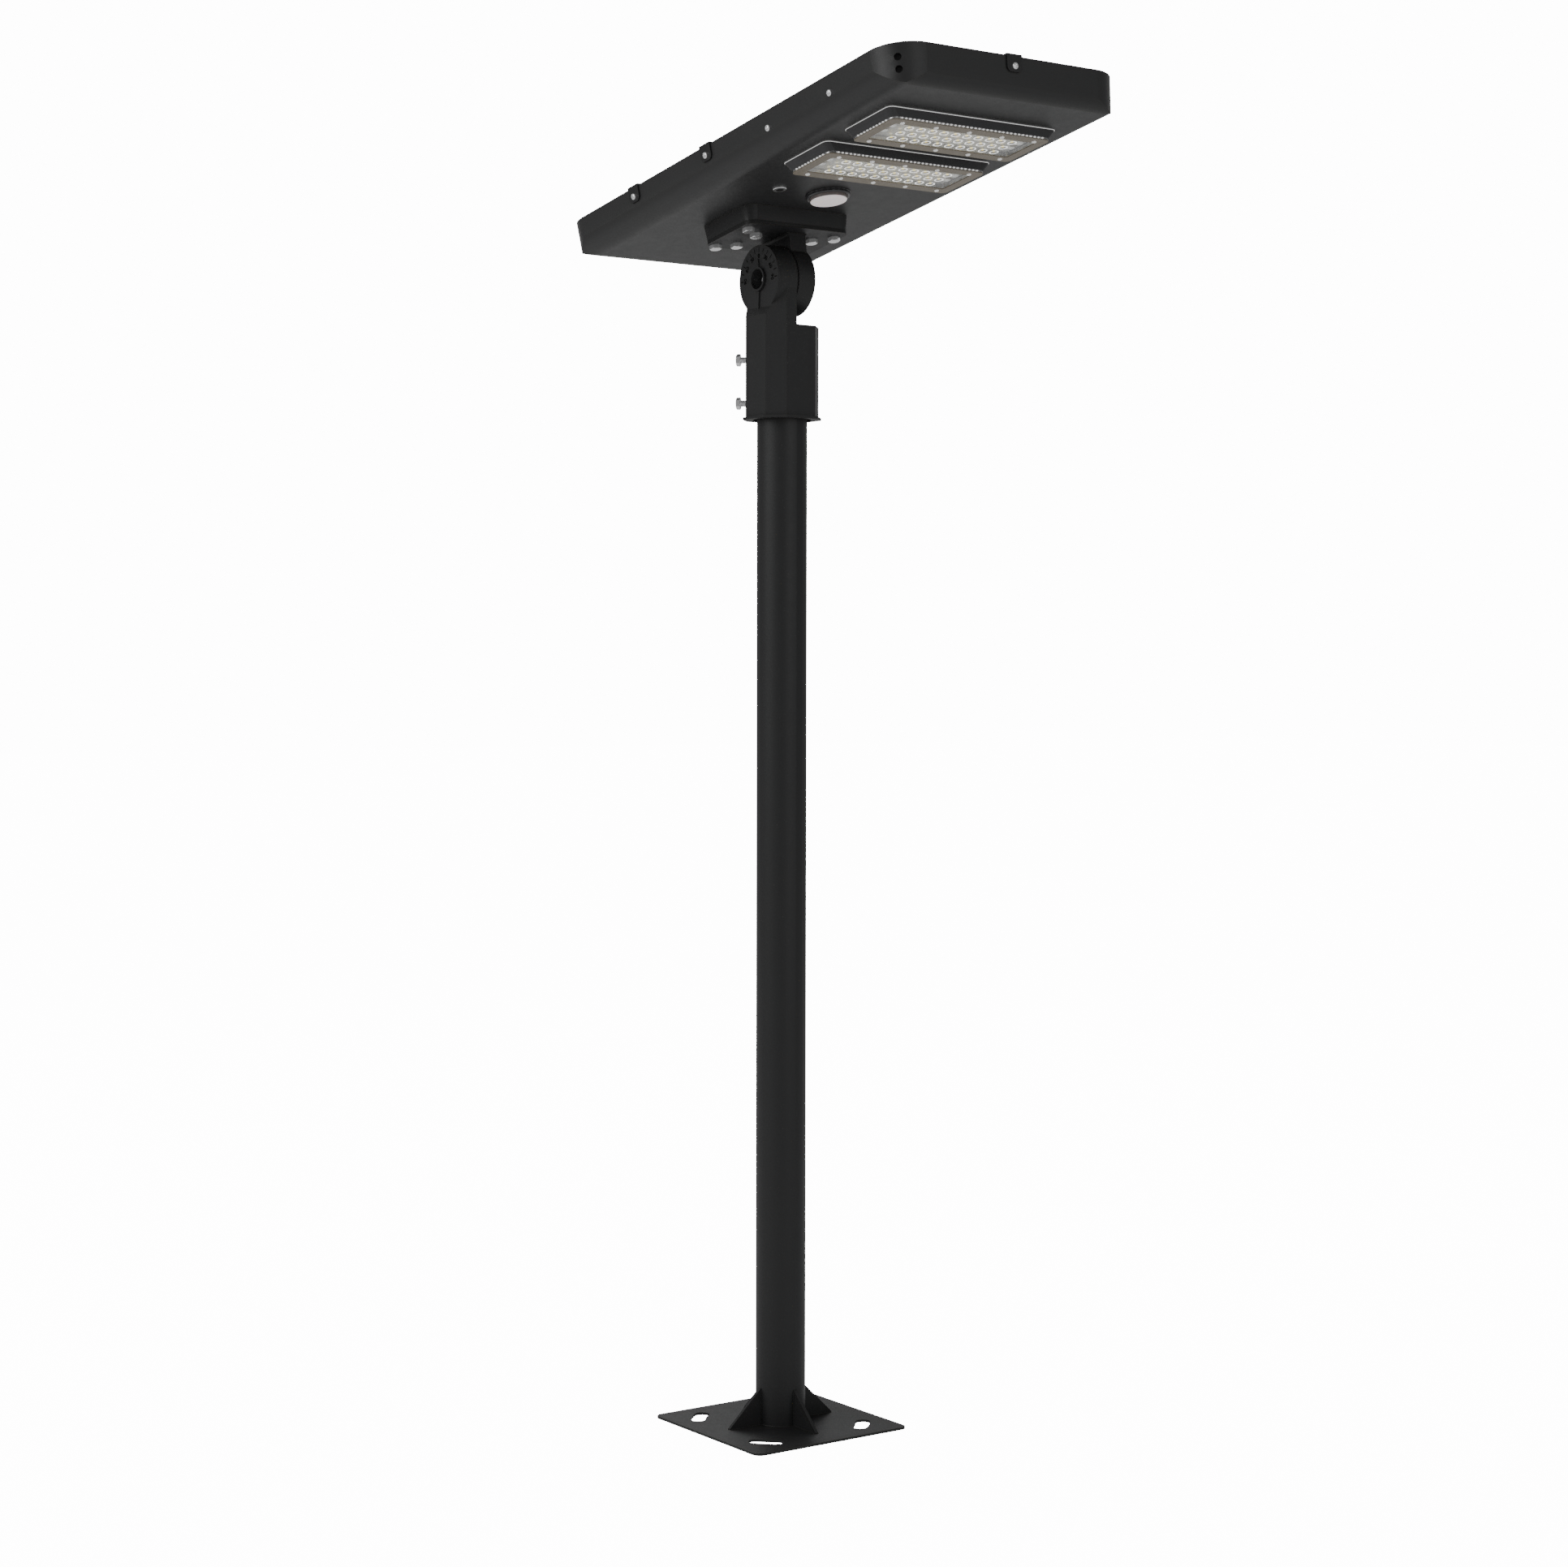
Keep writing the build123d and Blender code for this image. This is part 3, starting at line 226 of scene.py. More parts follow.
anodised = material("anodised_case", (0.06, 0.06, 0.065), 0.35, metallic=0.8, grain=0.2, grain_size=0.5)

# the light modules
bezel_black = material("bezel_black", (0.03, 0.03, 0.032), 0.45, grain=0.3, grain_size=0.6, cloud=0.12)
# the pale silicone also glows a little, a painted glow on top of its own pale colour
pale_silicone_painted_glow = material("pale_silicone_painted_glow", (0.9, 0.9, 0.89), 0.5, grain=0.2, grain_size=0.8, cloud=0.03,
                         Emission_Color=(1, 1, 1, 1), Emission_Strength=0.25)
taupe = material("taupe_frame", (0.23, 0.2, 0.155), 0.48, grain=0.3, grain_size=0.5, cloud=0.05, coat=0.08)
# the white mask on the packages and plugs glows a little, a painted glow
white_mask_painted_glow = material("white_solder_mask_painted_glow", (0.92, 0.92, 0.9), 0.4, grain=0.15, grain_size=2.5, cloud=0.02,
                      Emission_Color=(1, 1, 0.95, 1), Emission_Strength=0.12)
board_mask = material("board_solder_mask", (0.52, 0.52, 0.5), 0.4, grain=0.15, grain_size=2.5, cloud=0.06)
# the yellow phosphor glows though the lamp is off, a painted glow
phosphor_painted_glow = material("led_phosphor", (0.9, 0.7, 0.06), 0.35, grain=0.1, grain_size=0.5, cloud=0.06,
                    Emission_Color=(1, 0.74, 0.06, 1), Emission_Strength=1.1)
lens_clear = material("moulded_lens", (0.9, 0.92, 0.93), 0.06, grain=0.03, grain_size=2.0, cloud=0.01,
                      smudge=0.02, ior=1.49, Alpha=0.14)
# the lens rims glow white, a painted highlight round each cup
rim_painted_highlight = material("lens_rim_painted_highlight", (0.95, 0.95, 0.93), 0.15, grain=0.05, grain_size=0.5, cloud=0.03,
                     coat=0.5, Emission_Color=(1, 1, 0.98, 1), Emission_Strength=1.1)
# the beads glow white, painted glints along the module's edge
bead_painted_glint = material("pressed_bead_painted_glint", (0.8, 0.8, 0.78), 0.12, grain=0.05, grain_size=0.5, cloud=0.1,
                      coat=0.6, Emission_Color=(1, 1, 1, 1), Emission_Strength=0.45)

# the sensor and the switch
shell_dark = material("sensor_shell", (0.035, 0.035, 0.038), 0.3, grain=0.15, grain_size=0.6, cloud=0.08,
                      coat=0.3)
# the milky lens glows a little, a painted glow
milky_painted_glow = material("milky_lens_painted_glow", (0.88, 0.8, 0.79), 0.32, grain=0.08, grain_size=1.2, cloud=0.03,
                 Subsurface_Weight=0.3, Subsurface_Scale=0.004, Emission_Color=(1, 0.93, 0.92, 1),
                 Emission_Strength=0.32)
# darker copy of the milky lens plastic for the cap's wall, painted shade
milky_painted_shade = material("milky_wall_painted_shade", (0.2, 0.17, 0.165), 0.3, grain=0.08, grain_size=1.2, cloud=0.08,
                      coat=0.2)
cap_black = material("switch_cap", (0.015, 0.015, 0.015), 0.4, grain=0.2, grain_size=0.5)

# the panel and what the head holds
glass_clear = material("panel_glass", (0.5, 0.55, 0.58), 0.07, grain=0.03, grain_size=2.0, cloud=0.01,
                       smudge=0.03, Alpha=0.14)
cells = solar_cell_material()
foam = material("black_foam", (0.02, 0.02, 0.02), 0.85, grain=0.9, grain_size=0.9, cloud=0.3)
backsheet = material("black_backsheet", (0.02, 0.02, 0.022), 0.55, grain=0.1, grain_size=1.2)
shrink_wrap = material("blue_shrink_wrap", (0.03, 0.16, 0.42), 0.28, grain=0.15, grain_size=3.0, cloud=0.1,
                       coat=0.3)
moulding = material("black_moulding", (0.03, 0.03, 0.03), 0.5, grain=0.4, grain_size=0.7)
circuit = material("green_circuit", (0.02, 0.14, 0.06), 0.35, grain=0.3, grain_size=1.4, cloud=0.35)
rubber = material("lead_rubber", (0.02, 0.02, 0.02), 0.5, grain=0.2, grain_size=0.8)

finishes = {
    "base_plate": powder_pole, "base_gussets": powder_pole, "pole_tube": powder_pole,
    "slip_fitter": powder_cast, "tilt_arm": powder_cast, "lower_housing": powder_head,
    "panel_clips": powder_clip, "set_screws": stainless_painted_glow, "pivot_bolt": stainless_painted_glow, "pivot_washer": stainless_painted_glow,
    "pivot_nut": stainless_painted_glow, "flange_bolts": stainless_painted_glow, "clip_screws": stainless_painted_glow, "side_screws": stainless_painted_glow,
    "backing_plate": zinc, "switch_nut": zinc, "battery_straps": zinc, "panel_gasket": foam,
    "panel_backsheet": backsheet, "solar_cells": cells, "solar_glass": glass_clear,
    "junction_box": moulding, "battery_tray": moulding, "sensor_ring": shell_dark,
    "sensor_lens": milky_painted_glow, "sensor_board": circuit, "battery_board": circuit,
    "switch_bezel": stainless_painted_glow, "power_button": cap_black, "battery_cells": shrink_wrap,
    "charge_controller": anodised, "internal_leads": rubber,
}
for module in ("front", "rear"):
    finishes.update({
        f"led_gasket_{module}": pale_silicone_painted_glow, f"led_bezel_{module}": bezel_black,
        f"led_body_{module}": bright_cast, f"led_board_{module}": board_mask,
        f"led_chips_{module}": phosphor_painted_glow, f"led_lens_{module}": lens_clear,
        f"led_terminals_{module}": white_mask_painted_glow,
        f"led_frame_{module}": taupe, f"led_screws_{module}": stainless_painted_glow,
    })


def dress(node, mat, crease=30):
    """Gives a CAD node its finish, with smooth shading between its creases."""
    mesh = node.data
    mesh.materials.clear()
    mesh.materials.append(mat)
    mesh.polygons.foreach_set("material_index", [0] * len(mesh.polygons))
    mesh.shade_smooth()
    mesh.set_sharp_from_angle(angle=radians(crease))


for name, node in frame["nodes"].items():
    dress(node, finishes[name])


# ------------------------------------------------------------------ pieces
def piece(name, mesh, mat, body, slot, *replaced):
    obj = bpy.data.objects.new(name, mesh)
    bpy.context.scene.collection.objects.link(obj)
    mesh.materials.clear()
    mesh.materials.append(mat)
    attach(obj, body)
    if replaced:
        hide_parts(*replaced)
    return obj


def mesh_from(name, bm, smooth=35):
    mesh = bpy.data.meshes.new(name)
    bmesh.ops.remove_doubles(bm, verts=bm.verts, dist=1e-6)
    bmesh.ops.recalc_face_normals(bm, faces=bm.faces)
    bm.to_mesh(mesh)
    bm.free()
    mesh.shade_smooth()
    mesh.set_sharp_from_angle(angle=radians(smooth))
    return mesh


def add_rings(bm, place, rings, close_start=True, close_end=True):
    """Skins closed rings of points, given in the place's own axes."""
    rows = [[bm.verts.new(place @ Vector(p)) for p in ring] for ring in rings]
    for a, b in zip(rows, rows[1:]):
        for i in range(len(a)):
            j = (i + 1) % len(a)
            bm.faces.new((a[i], a[j], b[j], b[i]))
    if close_start:
        bm.faces.new(rows[0][::-1])
    if close_end:
        bm.faces.new(rows[-1])
    return rows


def circle(radius, z, count=32):
    return [(radius * cos(2 * pi * i / count), radius * sin(2 * pi * i / count), z) for i in range(count)]


def add_block(bm, place, size, round_by):
    """Block with softly rounded vertical corners and a small bevel on its upper edge, base at z = 0."""
    half_x, half_y, tall = size[0] / 2, size[1] / 2, size[2]
    bevel = round_by * 0.6

    def outline(shrink, z):
        ring = []
        radius = round_by - shrink * 0.5
        for quarter, (sx, sy) in enumerate(((1, 1), (-1, 1), (-1, -1), (1, -1))):
            for step in range(5):
                turn = pi / 2 * (quarter + step / 4)
                ring.append((sx * (half_x - round_by) + (radius - shrink * 0.5) * cos(turn),
                             sy * (half_y - round_by) + (radius - shrink * 0.5) * sin(turn), z))
        return ring

    add_rings(bm, place, [outline(0, 0), outline(0, tall - bevel), outline(bevel * 0.3, tall - bevel * 0.3),
                          outline(bevel, tall)])


# ---- fasteners ----
def solids(node):
    """Corner points of each separate solid of a CAD node."""
    bm = bmesh.new()
    bm.from_mesh(frame["nodes"][node].data)
    bmesh.ops.remove_doubles(bm, verts=bm.verts, dist=1e-6)
    seen = set()
    groups = []
    for start in bm.verts:
        if start in seen:
            continue
        seen.add(start)
        queue = [start]
        group = []
        while queue:
            vert = queue.pop()
            group.append(vert.co.copy())
            for edge in vert.link_edges:
                other = edge.other_vert(vert)
                if other not in seen:
                    seen.add(other)
                    queue.append(other)
        groups.append(group)
    bm.free()
    return groups


def end_middle(points, axis, top):
    """Middle of the points at one end of a solid, along an axis."""
    heights = [p.dot(axis) for p in points]
    limit = max(heights) if top else min(heights)
    close = [p for p, h in zip(points, heights) if abs(h - limit) < 0.02 * MM]
    return sum(close, Vector()) / len(close)


def fastener(points):
    """Where a screw lies, z up through its head from the seat, x to a corner, and its four sizes."""
    cloud = np.array([tuple(p) for p in points])
    spread = np.linalg.eigh(np.cov((cloud - cloud.mean(axis=0)).T))[1]
    axis = Vector(spread[:, 2])
    axis = (end_middle(points, axis, True) - end_middle(points, axis, False)).normalized()
    foot = end_middle(points, axis, False)

    def off(p):
        return ((p - foot) - axis * (p - foot).dot(axis)).length

    length = max((p - foot).dot(axis) for p in points)
    wide_low = max(off(p) for p in points if (p - foot).dot(axis) < length * 0.15)
    wide_high = max(off(p) for p in points if (p - foot).dot(axis) > length * 0.8)
    if wide_low > wide_high:
        foot = foot + axis * length
        axis = -axis
        wide_low, wide_high = wide_high, wide_low
    seat = min((p - foot).dot(axis) for p in points if off(p) > wide_low * 1.15)
    corner = max((p for p in points if (p - foot).dot(axis) < seat + 0.02 * MM), key=off)
    flat = (corner - foot) - axis * (corner - foot).dot(axis)
    across = flat.normalized()
    turn = Matrix((across, axis.cross(across), axis)).transposed().to_4x4()
    place = Matrix.Translation(foot + axis * seat) @ turn
    return place, flat.length, length - seat, wide_low, seat


def hex_head(corner, height, count=72):
    """Rings of a hexagon head, its six corners cut by a 30 degree cone at both ends."""
    half_flat = corner * cos(pi / 6)
    rings = [circle(half_flat * 0.95, 0, count)]
    levels = [0.05 * height] + [height - corner * 0.09 * (1 - k / 7) for k in range(8)]
    for z in levels:
        cone = half_flat * 0.95 + (height - z) / tan(pi / 6)
        ring = []
        for i in range(count):
            turn = 2 * pi * i / count
            flat = half_flat / cos(turn % (pi / 3) - pi / 6)
            radius = min(flat, cone)
            ring.append((radius * cos(turn), radius * sin(turn), z))
        rings.append(ring)
    return rings


def thread(radius, length, pitch, count=24):
    """Rings down a threaded shank, whose ridge climbs one pitch a turn and fades at the tip."""
    steps = int(length / pitch * 6)
    depth = pitch * 0.5
    rings = []
    for k in range(steps + 1):
        z = -length * k / steps
        tip = max(0.0, 1 - (length + z) / (pitch * 1.2))
        ring = []
        for i in range(count):
            turn = 2 * pi * i / count
            ridge = abs(2 * ((z / pitch + i / count) % 1) - 1)
            r = radius - depth * max(ridge, tip) - depth * 0.8 * tip
            ring.append((r * cos(turn), r * sin(turn), z))
        rings.append(ring)
    return rings


def hex_bolts(name, node, pitch, mat, body, slot):
    bm = bmesh.new()
    for points in solids(node):
        place, corner, height, shank, length = fastener(points)
        add_rings(bm, place, hex_head(corner, height))
        sunk = 0.2 * MM
        add_rings(bm, place @ Matrix.Translation((0, 0, sunk)), thread(shank, length + sunk, pitch))
    piece(name, mesh_from(name, bm, 25), mat, body, slot, node)


def pan_head(radius, height, count=48, steps=12):
    """Rings of a domed head with a cross recess, from its seat to the middle of its top."""
    arm_l, arm_w, depth, edge = radius * 0.6, radius * 0.16, height * 0.55, radius * 0.1
    wall = 0.35      # share of the height below the dome

    def within(gap):
        return min(1, max(0, gap / edge + 0.5))

    rings = [circle(radius * share, height * z, count) for share, z in ((0.96, 0), (1, 0.06), (1, wall))]
    for k in range(1, steps):
        share = 1 - k / steps
        dome = height * (wall + (1 - wall) * sqrt(1 - share ** 2))
        ring = []
        for x, y, _ in circle(radius * share, 0, count):
            along, across = max(abs(x), abs(y)), min(abs(x), abs(y))
            ring.append((x, y, dome - depth * within(arm_w - across) * within(arm_l - along)))
        rings.append(ring)
    return rings


def pan_screws(name, nodes, pitch, mat, body, slot):
    bm = bmesh.new()
    for node in nodes:
        for number, points in enumerate(solids(node)):
            place, radius, height, shank, length = fastener(points)
            turn = 0.7 * number      # radians, so that no two cross recesses line up
            sunk = 0.1 * MM
            add_rings(bm, place @ Matrix.Rotation(turn, 4, "Z"), pan_head(radius, height))
            add_rings(bm, place @ Matrix.Translation((0, 0, sunk)), thread(shank, length + sunk, pitch, 16))
    piece(name, mesh_from(name, bm, 30), mat, body, slot, *nodes)


def hex_nut(name, node, mat, body, slot):
    """Nut about the tilt axis, with both faces chamfered and a threaded bore."""
    low, high = span(node, PIVOT.inverted())
    bore = min((PIVOT.inverted() @ v.co).xy.length for v in frame["nodes"][node].data.vertices)
    corner = max(high.x, high.y, -low.x, -low.y)
    height = high.z - low.z
    turn = 0 if high.x > high.y else pi / 2
    place = PIVOT @ Matrix.Translation((0, 0, low.z)) @ Matrix.Rotation(turn, 4, "Z")
    outer = hex_head(corner, height)
    flip = [[(x, y, height - z) for x, y, z in ring] for ring in reversed(outer[-8:])]
    rings = flip[:-1] + outer[2:]
    bm = bmesh.new()
    count = len(rings[0])
    inner = [circle(bore * (1.08 if k in (0, 20) else 1 + 0.035 * (k % 2)), height * (1 - k / 20), count)
             for k in range(21)]
    add_rings(bm, place, rings + inner + [rings[0]], False, False)
    piece(name, mesh_from(name, bm, 25), mat, body, slot, node)


module_nodes = ["led_screws_front", "led_screws_rear"]
hex_bolts("housing_bolts", "flange_bolts", coarse_pitch, stainless_painted_glow, "head", "stainless")
hex_bolts("clamp_screws", "set_screws", coarse_pitch, stainless_painted_glow, "fitter", "stainless")
pan_screws("wall_screws", ["clip_screws", "side_screws"], clip_pitch, stainless_painted_glow, "head", "stainless")
pan_screws("module_screws", module_nodes, module_pitch, screw_steel_painted_glow, "head", "stainless")
hex_nut("lock_nut", "pivot_nut", stainless_painted_glow, "fitter", "stainless")


# ---- light modules ----
def under_plane(x, y, z):
    """Place on the underside of the head with its z pointing down and out, y across."""
    turn = Matrix(((1, 0, 0), (0, -1, 0), (0, 0, -1))).to_4x4()
    return HEAD @ Matrix.Translation((x, y, z)) @ turn


def lens_array(module):
    """Clear plate with a grid of cup lenses, each a steep rim round a dimpled dome.
    Returns where their rows and columns lie in the head's axes."""
    low, high = span(f"led_lens_{module}")
    chips = [sum(c, Vector()) / len(c) for c in solids(f"led_chips_{module}")]
    spots = [TO_HEAD @ c for c in chips]
    xs = sorted({round(p.x, 4) for p in spots})
    ys = sorted({round(p.y, 4) for p in spots})
    pitch_x, pitch_y = (xs[-1] - xs[0]) / (len(xs) - 1), (ys[-1] - ys[0]) / (len(ys) - 1)
    rise = high.z - low.z - lens_plate
    radius = cup_share * pitch_x
    count = 32
    # radius and height of the cup, as shares, from the dimple in its middle out to the plate
    profile = [(0.0, 0.55), (0.12, 0.58), (0.26, 0.74), (0.42, 0.95), (0.58, 1.0), (0.74, 0.92),
               (0.86, 0.7), (0.93, 0.36), (0.96, 0.12), (1.0, 0.16), (1.06, 0.16), (1.1, 0.0)]
    bm = bmesh.new()
    for x in xs:
        for y in ys:
            place = under_plane(x, y, high.z - lens_plate)
            rows = []
            for share, tall in profile[1:]:
                ring = circle(share * radius, tall * rise, count)
                rows.append([bm.verts.new(place @ Vector(p)) for p in ring])
            border = []
            for i in range(count):
                turn = 2 * pi * i / count
                dx, dy = cos(turn), sin(turn)
                reach = min(pitch_x / 2 / max(abs(dx), 1e-6), pitch_y / 2 / max(abs(dy), 1e-6))
                border.append(bm.verts.new(place @ Vector((dx * reach, dy * reach, 0))))
            rows.append(border)
            middle = bm.verts.new(place @ Vector((0, 0, profile[0][1] * rise)))
            for i in range(count):
                j = (i + 1) % count
                bm.faces.new((middle, rows[0][i], rows[0][j]))
                for a, b in zip(rows, rows[1:]):
                    bm.faces.new((a[i], b[i], b[j], a[j]))
    bmesh.ops.remove_doubles(bm, verts=bm.verts, dist=2e-5)
    # rim of the plate: out to the pocket wall, up and across the back
    mid = HEAD @ Vector(((low.x + high.x) / 2, (low.y + high.y) / 2, 0))
    rim = [e for e in bm.edges if e.is_boundary]
    grown = bmesh.ops.extrude_edge_only(bm, edges=rim)["geom"]
    verts = [g for g in grown if isinstance(g, bmesh.types.BMVert)]
    reach_x = (xs[-1] - xs[0] + pitch_x) / 2
    reach_y = (ys[-1] - ys[0] + pitch_y) / 2
    half_x, half_y = (high.x - low.x) / 2, (high.y - low.y) / 2
    for v in verts:
        p = TO_HEAD @ v.co
        centre = TO_HEAD @ mid
        p.x = centre.x + (p.x - centre.x) * half_x / reach_x
        p.y = centre.y + (p.y - centre.y) * half_y / reach_y
        v.co = HEAD @ p
    edges = [g for g in grown if isinstance(g, bmesh.types.BMEdge) and g.is_boundary]
    grown = bmesh.ops.extrude_edge_only(bm, edges=edges)["geom"]
    for v in (g for g in grown if isinstance(g, bmesh.types.BMVert)):
        v.co += up * lens_plate
    back = [g for g in grown if isinstance(g, bmesh.types.BMEdge) and g.is_boundary]
    bmesh.ops.contextual_create(bm, geom=back)
    name = f"lens_array_{module}"
    piece(name, mesh_from(name, bm, 40), lens_clear, "head", "module_lens", f"led_lens_{module}")
    return xs, ys


def light_sources(module, xs, ys):
    """White packages on tinned pads, and in each lens a yellow core that glows, a painted glow, and a ring
    that glows white on the cup's rim, a painted highlight.
    """
    low, high = span(f"led_chips_{module}")
    size = solids(f"led_chips_{module}")[0]
    flat = [TO_HEAD @ p for p in size]
    side = max(p.x for p in flat) - min(p.x for p in flat)
    tall = high.z - low.z
    base, glow, pads, highlight_rims = (bmesh.new() for _ in range(4))
    cup = cup_share * (xs[-1] - xs[0]) / (len(xs) - 1)
    lens_low, lens_high = span(f"led_lens_{module}")
    rise = lens_high.z - lens_low.z - lens_plate
    core = [circle(cup * share, rise * z, 24)
            for share, z in ((0.3, 0.0), (0.3, 0.25), (0.26, 0.36), (0.14, 0.45))]
    tube = [circle(cup * (0.78 + 0.13 * cos(turn)), rise * (0.84 + 0.09 * sin(turn)), 32)
            for turn in (pi * k / 4 for k in range(8))]
    package = (side, side, tall * 0.65)
    pad = (side * 1.7, side * 1.7, 0.08 * MM)
    for x in xs:
        for y in ys:
            add_block(base, under_plane(x, y, high.z), package, side * 0.1)
            add_rings(glow, under_plane(x, y, lens_high.z - lens_plate + 0.1 * MM), core)
            add_rings(highlight_rims, under_plane(x, y, lens_high.z - lens_plate), tube + [tube[0]], False, False)
            add_block(pads, under_plane(x, y, high.z + 0.02 * MM), pad, side * 0.12)
    for name, bm, mat, slot, gone in (
            (f"led_package_{module}", base, white_mask_painted_glow, "board_white", [f"led_chips_{module}"]),
            (f"led_pillow_{module}", glow, phosphor_painted_glow, "led_phosphor", []),
            (f"lens_painted_highlight_rims_{module}", highlight_rims, rim_painted_highlight, "module_lens", []),
            (f"led_pads_{module}", pads, tinned, "switch_metal", [])):
        piece(name, mesh_from(name, bm, 40), mat, "head", slot, *gone)


def terminals(module):
    """White plug bodies with round pins and a taupe cap between them, at both ends of the board."""
    node = f"led_terminals_{module}"
    bodies, caps, pins = (bmesh.new() for _ in range(3))
    pin = [circle(0.9 * MM, 0, 20), circle(0.9 * MM, 0.12 * MM, 20), circle(0.6 * MM, 0.2 * MM, 20)]
    for points in solids(node):
        flat = [TO_HEAD @ p for p in points]
        low = Vector(min(p[i] for p in flat) for i in range(3))
        high = Vector(max(p[i] for p in flat) for i in range(3))
        size = high - low
        mid = (low + high) / 2
        for side in (-1, 1):
            x = mid.x + side * size.x * 0.34
            add_block(bodies, under_plane(x, mid.y, high.z), (size.x * 0.3, size.y, size.z), 0.8 * MM)
            for row in (-1, 1):
                spot = under_plane(x, mid.y + row * size.y * 0.24, low.z + 0.01 * MM)
                add_rings(pins, spot, pin)
        cap = under_plane(mid.x, mid.y, high.z)
        add_block(caps, cap, (size.x * 0.32, size.y * 0.7, size.z * 0.7), 0.5 * MM)
        add_block(bodies, cap, (size.x * 0.9, size.y * 0.35, size.z * 0.35), 0.4 * MM)
    for name, bm, mat, slot, gone in (
            (f"plug_bodies_{module}", bodies, white_mask_painted_glow, "board_white", [node]),
            (f"plug_caps_{module}", caps, taupe, "module_frame", []),
            (f"plug_pins_{module}", pins, tinned, "switch_metal", [])):
        piece(name, mesh_from(name, bm, 40), mat, "head", slot, *gone)


def edge_beads(module):
    """Row of pressed beads round the module, in the step between the bezel and the frame, that glow white
    as painted glints.
    """
    frame_low, frame_high = span(f"led_frame_{module}")
    bezel_low = span(f"led_bezel_{module}")[0]
    z = (bezel_low.z + frame_high.z) / 2
    size = (bezel_low.z - frame_high.z) * 0.5
    mid = (frame_low + frame_high) / 2
    half_x, half_y = (frame_high.x - frame_low.x) / 2, (frame_high.y - frame_low.y) / 2

    def steps(half):
        """Places of the beads along a side of the module, from its middle."""
        count = int((2 * half - 2 * module_corner) / bead_pitch)
        return [(k - (count - 1) / 2) * bead_pitch for k in range(count)]

    route = []
    for side in (-1, 1):
        route += [(mid.x + side * half_x, mid.y + y) for y in steps(half_y)]
        route += [(mid.x + x, mid.y + side * half_y) for x in steps(half_x)]
    bm = bmesh.new()
    for x, y in route:
        rings = []
        for k in range(7):
            turn = pi * (k + 0.5) / 7 - pi / 2
            rings.append(circle(size * 1.5 * cos(turn), size * sin(turn), 12))
        add_rings(bm, under_plane(x, y, z), rings)
    name = f"edge_beads_{module}"
    piece(name, mesh_from(name, bm, 60), bead_painted_glint, "head", "module_body")


def seal_lip(module):
    """Pale bead pressed out all round between the housing and the bezel."""
    low, high = span(f"led_gasket_{module}")
    bezel_low, bezel_high = span(f"led_bezel_{module}")
    mid = (bezel_low + bezel_high) / 2
    half_x, half_y = (bezel_high.x - bezel_low.x) / 2, (bezel_high.y - bezel_low.y) / 2
    radius = (high.z - low.z) * 0.62
    flat = 0.8      # the bead's height over its width
    corner = module_corner
    steps = 10
    path = []
    for quarter, (sx, sy) in enumerate(((1, 1), (-1, 1), (-1, -1), (1, -1))):
        for step in range(steps + 1):
            turn = pi / 2 * (quarter + step / steps)
            path.append((Vector((sx * (half_x - corner) + corner * cos(turn),
                                 sy * (half_y - corner) + corner * sin(turn), 0)), turn))
    place = under_plane(mid.x, mid.y, (low.z + high.z) / 2)
    bm = bmesh.new()
    rings = []
    for point, turn in path:
        out = Vector((cos(turn), sin(turn), 0))
        rings.append([point + out * x + Vector((0, 0, y * flat)) for x, y, _ in circle(radius, 0, 12)])
    add_rings(bm, place, rings + [rings[0]], False, False)
    name = f"seal_lip_{module}"
    piece(name, mesh_from(name, bm, 60), pale_silicone_painted_glow, "head", "gasket_white")


for module in ("front", "rear"):
    seal_lip(module)
    light_sources(module, *lens_array(module))
    terminals(module)
    edge_beads(module)


# ---- sensor ----
def sensor_bezel():
    """Dark ring with shallow flutes round its wall and a stepped lip."""
    low, high = span("sensor_ring")
    mid = (low + high) / 2
    radius = (high.x - low.x) / 2
    bore = min(((TO_HEAD @ v.co) - mid).xy.length for v in frame["nodes"]["sensor_ring"].data.vertices)
    tall = high.z - low.z
    count = 240
    flutes, flute_depth = 24, 0.45 * MM
    # share of the radius, share of the height and how far the flutes go in
    outside = [(1.0, 0.0, 0.0), (1.0, 0.12, 0.0), (0.985, 0.2, 1.0), (0.985, 0.6, 1.0), (0.98, 0.68, 0.0),
               (0.965, 0.85, 0.0), (0.93, 1.0, 0.0)]
    rings = []
    for share, z, flute in outside:
        ring = []
        for i in range(count):
            turn = 2 * pi * i / count
            r = radius * share - flute * flute_depth * (0.5 + 0.5 * cos(flutes * turn))
            ring.append((r * cos(turn), r * sin(turn), z * tall))
        rings.append(ring)
    for share, z in ((1.03, 1.0), (1.0, 0.93), (1.0, 0.0)):
        rings.append(circle(bore * share, z * tall, count))
    bm = bmesh.new()
    add_rings(bm, under_plane(mid.x, mid.y, high.z), rings + [rings[0]], False, False)
    mesh = mesh_from("sensor_bezel", bm, 30)
    piece("sensor_bezel", mesh, shell_dark, "head", "sensor_shell", "sensor_ring")


